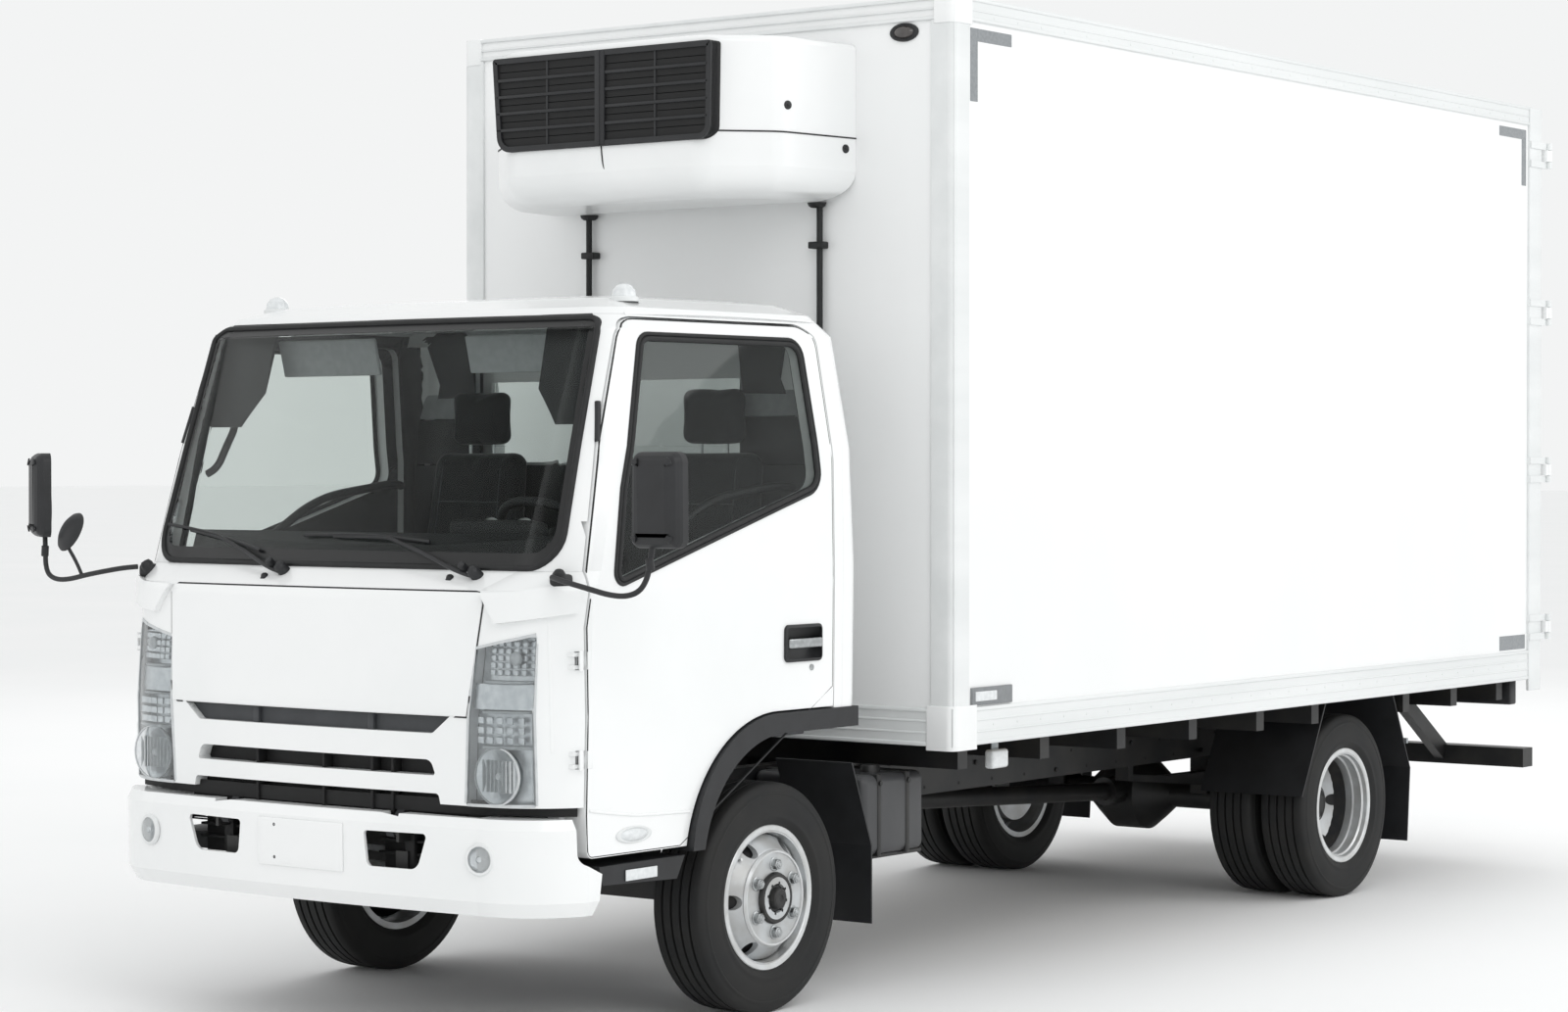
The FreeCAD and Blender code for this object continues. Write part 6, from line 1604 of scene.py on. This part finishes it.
def makeDashDetails():
    # hooded instruments before the driver
    hood = slab("cluster_hood", [(0.31, -3.06, 1.560), (0.31, -2.975, 1.548), (0.67, -2.975, 1.548),
                                 (0.67, -3.06, 1.560)],
                (0, 0, 0.062), 0.022, 4)
    finish(hood, "dashVinyl", "cab")
    dials = []
    for x, radius in ((0.42, 0.040), (0.56, 0.040), (0.49, 0.022)):
        dials.append(lathe("dial", [(-0.002, 0.0001), (0.002, radius), (0.006, radius + 0.003),
                                    (-0.002, radius + 0.004)],
                           (x, -2.972, 1.582), (0, 0.98, 0.2), 32))
    finish(together("dash_dials", dials), "coatedExtrusion", "cab")
    parts = []
    for x in (-0.78, -0.16, 0.16, 0.78):
        where = onPanel("dashboard", (x, -2.5, 1.47), (0, -1, 0))
        y = where.y if where else -2.97
        parts.append(block("vent_frame", (x - 0.062, y - 0.010, 1.432), (x + 0.062, y + 0.010, 1.508), 0.008,
                           3))
        for n in range(5):
            parts.append(block("vane", (x - 0.052, y + 0.006, 1.442 + n * 0.013),
                               (x + 0.052, y + 0.013, 1.446 + n * 0.013),
                               0.001))
    for x0, x1, z0, z1 in ((-0.09, 0.09, 1.30, 1.40), (-0.09, 0.09, 1.20, 1.285), (-0.66, -0.26, 1.22, 1.38)):
        where = onPanel("dashboard", ((x0 + x1) / 2, -2.5, (z0 + z1) / 2), (0, -1, 0))
        y = where.y if where else -2.97
        parts.append(block("panel", (x0, y - 0.012, z0), (x1, y + 0.007, z1), 0.006, 3))
    finish(together("dash_vents", parts), "grainedAbs", "cab")
    # gear lever between the seats
    lever = tube("gear_stick", [(0.10, -2.66, 1.02), (0.11, -2.67, 1.16), (0.13, -2.69, 1.30)], 0.008)
    knob = lathe("knob", [(-0.026, 0.0001), (-0.022, 0.014), (0.0, 0.024), (0.020, 0.020), (0.028, 0.0001)],
                 (0.131, -2.692, 1.315), (0, 0, 1), 20)
    gaiter = lathe("gaiter", [(0.0, 0.060), (0.030, 0.048), (0.045, 0.050), (0.075, 0.030), (0.090, 0.032),
                              (0.120, 0.012)], (0.10, -2.66, 1.022), (0, 0, 1), 24)
    finish(together("gear_lever", [lever, knob, gaiter]), "grainedAbs", "cab")


def insideFace(p, n):
    # true for the pillars' faces that look inwards, or forwards from behind the windscreen
    screen = {"y": -3.02, "z": 2.15, "rake": 0.306, "gap": 0.035}
    behind = p.y > screen["y"] + screen["rake"] * (p.z - screen["z"]) + screen["gap"]
    forward = n.y < -0.4 and behind and p.z > 1.5 and abs(p.x) < 0.79
    return p.z > 0.95 and (n.x * p.x < -0.35 or forward)


def makeLinings():
    # headliner and back trim stand a little inside the sheet metal
    roof = lining("headliner", "cab_roof", lambda p,
                  n: n.z < -0.3 and abs(p.x) < 0.86 and -2.84 < p.y < -1.93,
                  0.004, (0, 0, -0.010))
    finish(roof, "headlinerFelt", "cab")
    # trim on the back wall, below and beside the rear window
    low = block("low", (-0.905, -1.9090, 1.030), (0.905, -1.8990, 1.790), 0.004)
    sides = [block("side", (x - 0.150, -1.9090, 1.792), (x + 0.150, -1.8990, 1.953), 0.004) for x in (-0.735,
                                                                                                      0.735)]
    upper = [block("upper", (x - 0.150, -1.9090, 1.955), (x + 0.150, -1.8990, 2.160), 0.004) for x in (-0.735,
                                                                                                       0.735)]
    finish(together("back_trim_upper", upper), "headlinerFelt", "cab")
    wall = together("back_trim", [low, *sides])
    finish(wall, "grainedAbs", "cab")
    # moulded trim on the inside of the door frames and of the pillars round them
    door = lining("door_lining", "left_cab_door", lambda p, n: n.x < -0.6 and p.z > 0.70, 0.0020,
                  (-0.0005, 0, 0))
    bothSides(door, "grainedAbs", ("door_left", "door_right"))
    pillars = lining("pillar_lining", "cab_side_frames", insideFace, 0.0020)
    finish(pillars, "grainedAbs", "cab")
    visors = []
    for x in (-0.42, 0.42):
        visor = slab("visor", [(x - 0.22, -2.858, 2.205), (x + 0.22, -2.858, 2.205),
                               (x + 0.22, -2.828, 2.085),
                               (x - 0.22, -2.828, 2.085)], (0, 0.016, 0.004), 0.006, 3)
        visors.append(visor)
    finish(together("sun_visors", visors), "headlinerFelt", "cab")
    grab = tube("door_grab", [(0.880, -2.636, 1.552), (0.862, -2.560, 1.610), (0.860, -2.478, 1.652),
                              (0.858, -2.370, 1.686),
                              (0.858, -2.200, 1.706), (0.860, -2.044, 1.726), (0.880, -1.999, 1.715)], 0.015,
                sides=6)
    bothSides(grab, "grainedAbs", ("door_left", "door_right"))
    grip = tube("pillar_grip", [(-0.905, -2.930, 1.760), (-0.872, -2.916, 1.775), (-0.866, -2.880, 1.850),
                                (-0.868, -2.830, 1.925), (-0.900, -2.812, 1.940)], 0.013, sides=6)
    finish(grip, "grainedAbs", "cab")
    # door cards
    card = block("door_card", (0.880, -3.040, 0.900), (0.900, -1.960, 1.415), 0.006, 3)
    rest = block("arm_rest", (0.822, -2.620, 1.180), (0.886, -2.200, 1.240), 0.018, 4)
    crank = lathe("crank", [(0.0, 0.0001), (0.0, 0.022), (0.018, 0.018), (0.022, 0.0001)],
                  (0.880, -2.72, 1.05),
                  (-1, 0, 0), 20)
    bothSides(together("door_card", [card, rest, crank]), "trimPolypropylene", ("door_left", "door_right"))


makeSeats()
print("seats made")
makeDashDetails()
makeLinings()
print("cab inside trimmed")


def makeStage():
    bpy.context.scene.view_settings.view_transform = "Standard"
    floor = {"size": 400, "colour": "#FAFAFA"}
    bpy.ops.mesh.primitive_plane_add(size=floor["size"], location=(0, 0, 0))
    ground = bpy.context.object
    ground.name = "studio_floor"
    material = newMaterial("studioFloor", floor["colour"], Roughness=0.85)
    mottle(material, "#F6F7F7", 0.5, 0.5)
    ground.data.materials.append(material)
    sky = {"colour": "#FBFCFC", "strength": 0.93}
    world = bpy.data.worlds.new("softWorld")
    world.use_nodes = True
    world.node_tree.nodes["Background"].inputs["Color"].default_value = linear(sky["colour"])
    world.node_tree.nodes["Background"].inputs["Strength"].default_value = sky["strength"]
    bpy.context.scene.world = world
    # soft boxes: name, place, aim, size, watts
    softBoxes = [
        ("key", (10, -7, 9), (0, 0, 1.6), 7, 270),
        ("fill", (-9, -9, 6), (0, -2, 1.4), 6, 30),
        ("side", (10, 4, 7), (0, 1, 1.6), 7, 200),
        ("back", (-7, 10, 8), (0, 1, 1.6), 7, 200),
    ]
    for name, spot, aim, width, power in softBoxes:
        light = bpy.data.lights.new(name, "AREA")
        light.size, light.energy = width, power
        lamp = bpy.data.objects.new(name, light)
        bpy.context.scene.collection.objects.link(lamp)
        lamp.location = spot
        lamp.rotation_euler = (Vector(aim) - Vector(spot)).to_track_quat("-Z", "Y").to_euler()
    shot = {"lens": 78.7, "spot": (7.627, -11.106, 1.796), "yaw": 36.68, "pitch": -0.71}
    view = bpy.data.cameras.new("camera")
    view.lens, view.sensor_width = shot["lens"], 36
    camera = bpy.data.objects.new("camera", view)
    bpy.context.scene.collection.objects.link(camera)
    camera.location = shot["spot"]
    camera.rotation_euler = (math.radians(90 + shot["pitch"]), 0, math.radians(shot["yaw"]))
    bpy.context.scene.camera = camera


makeStage()
print("stage set")
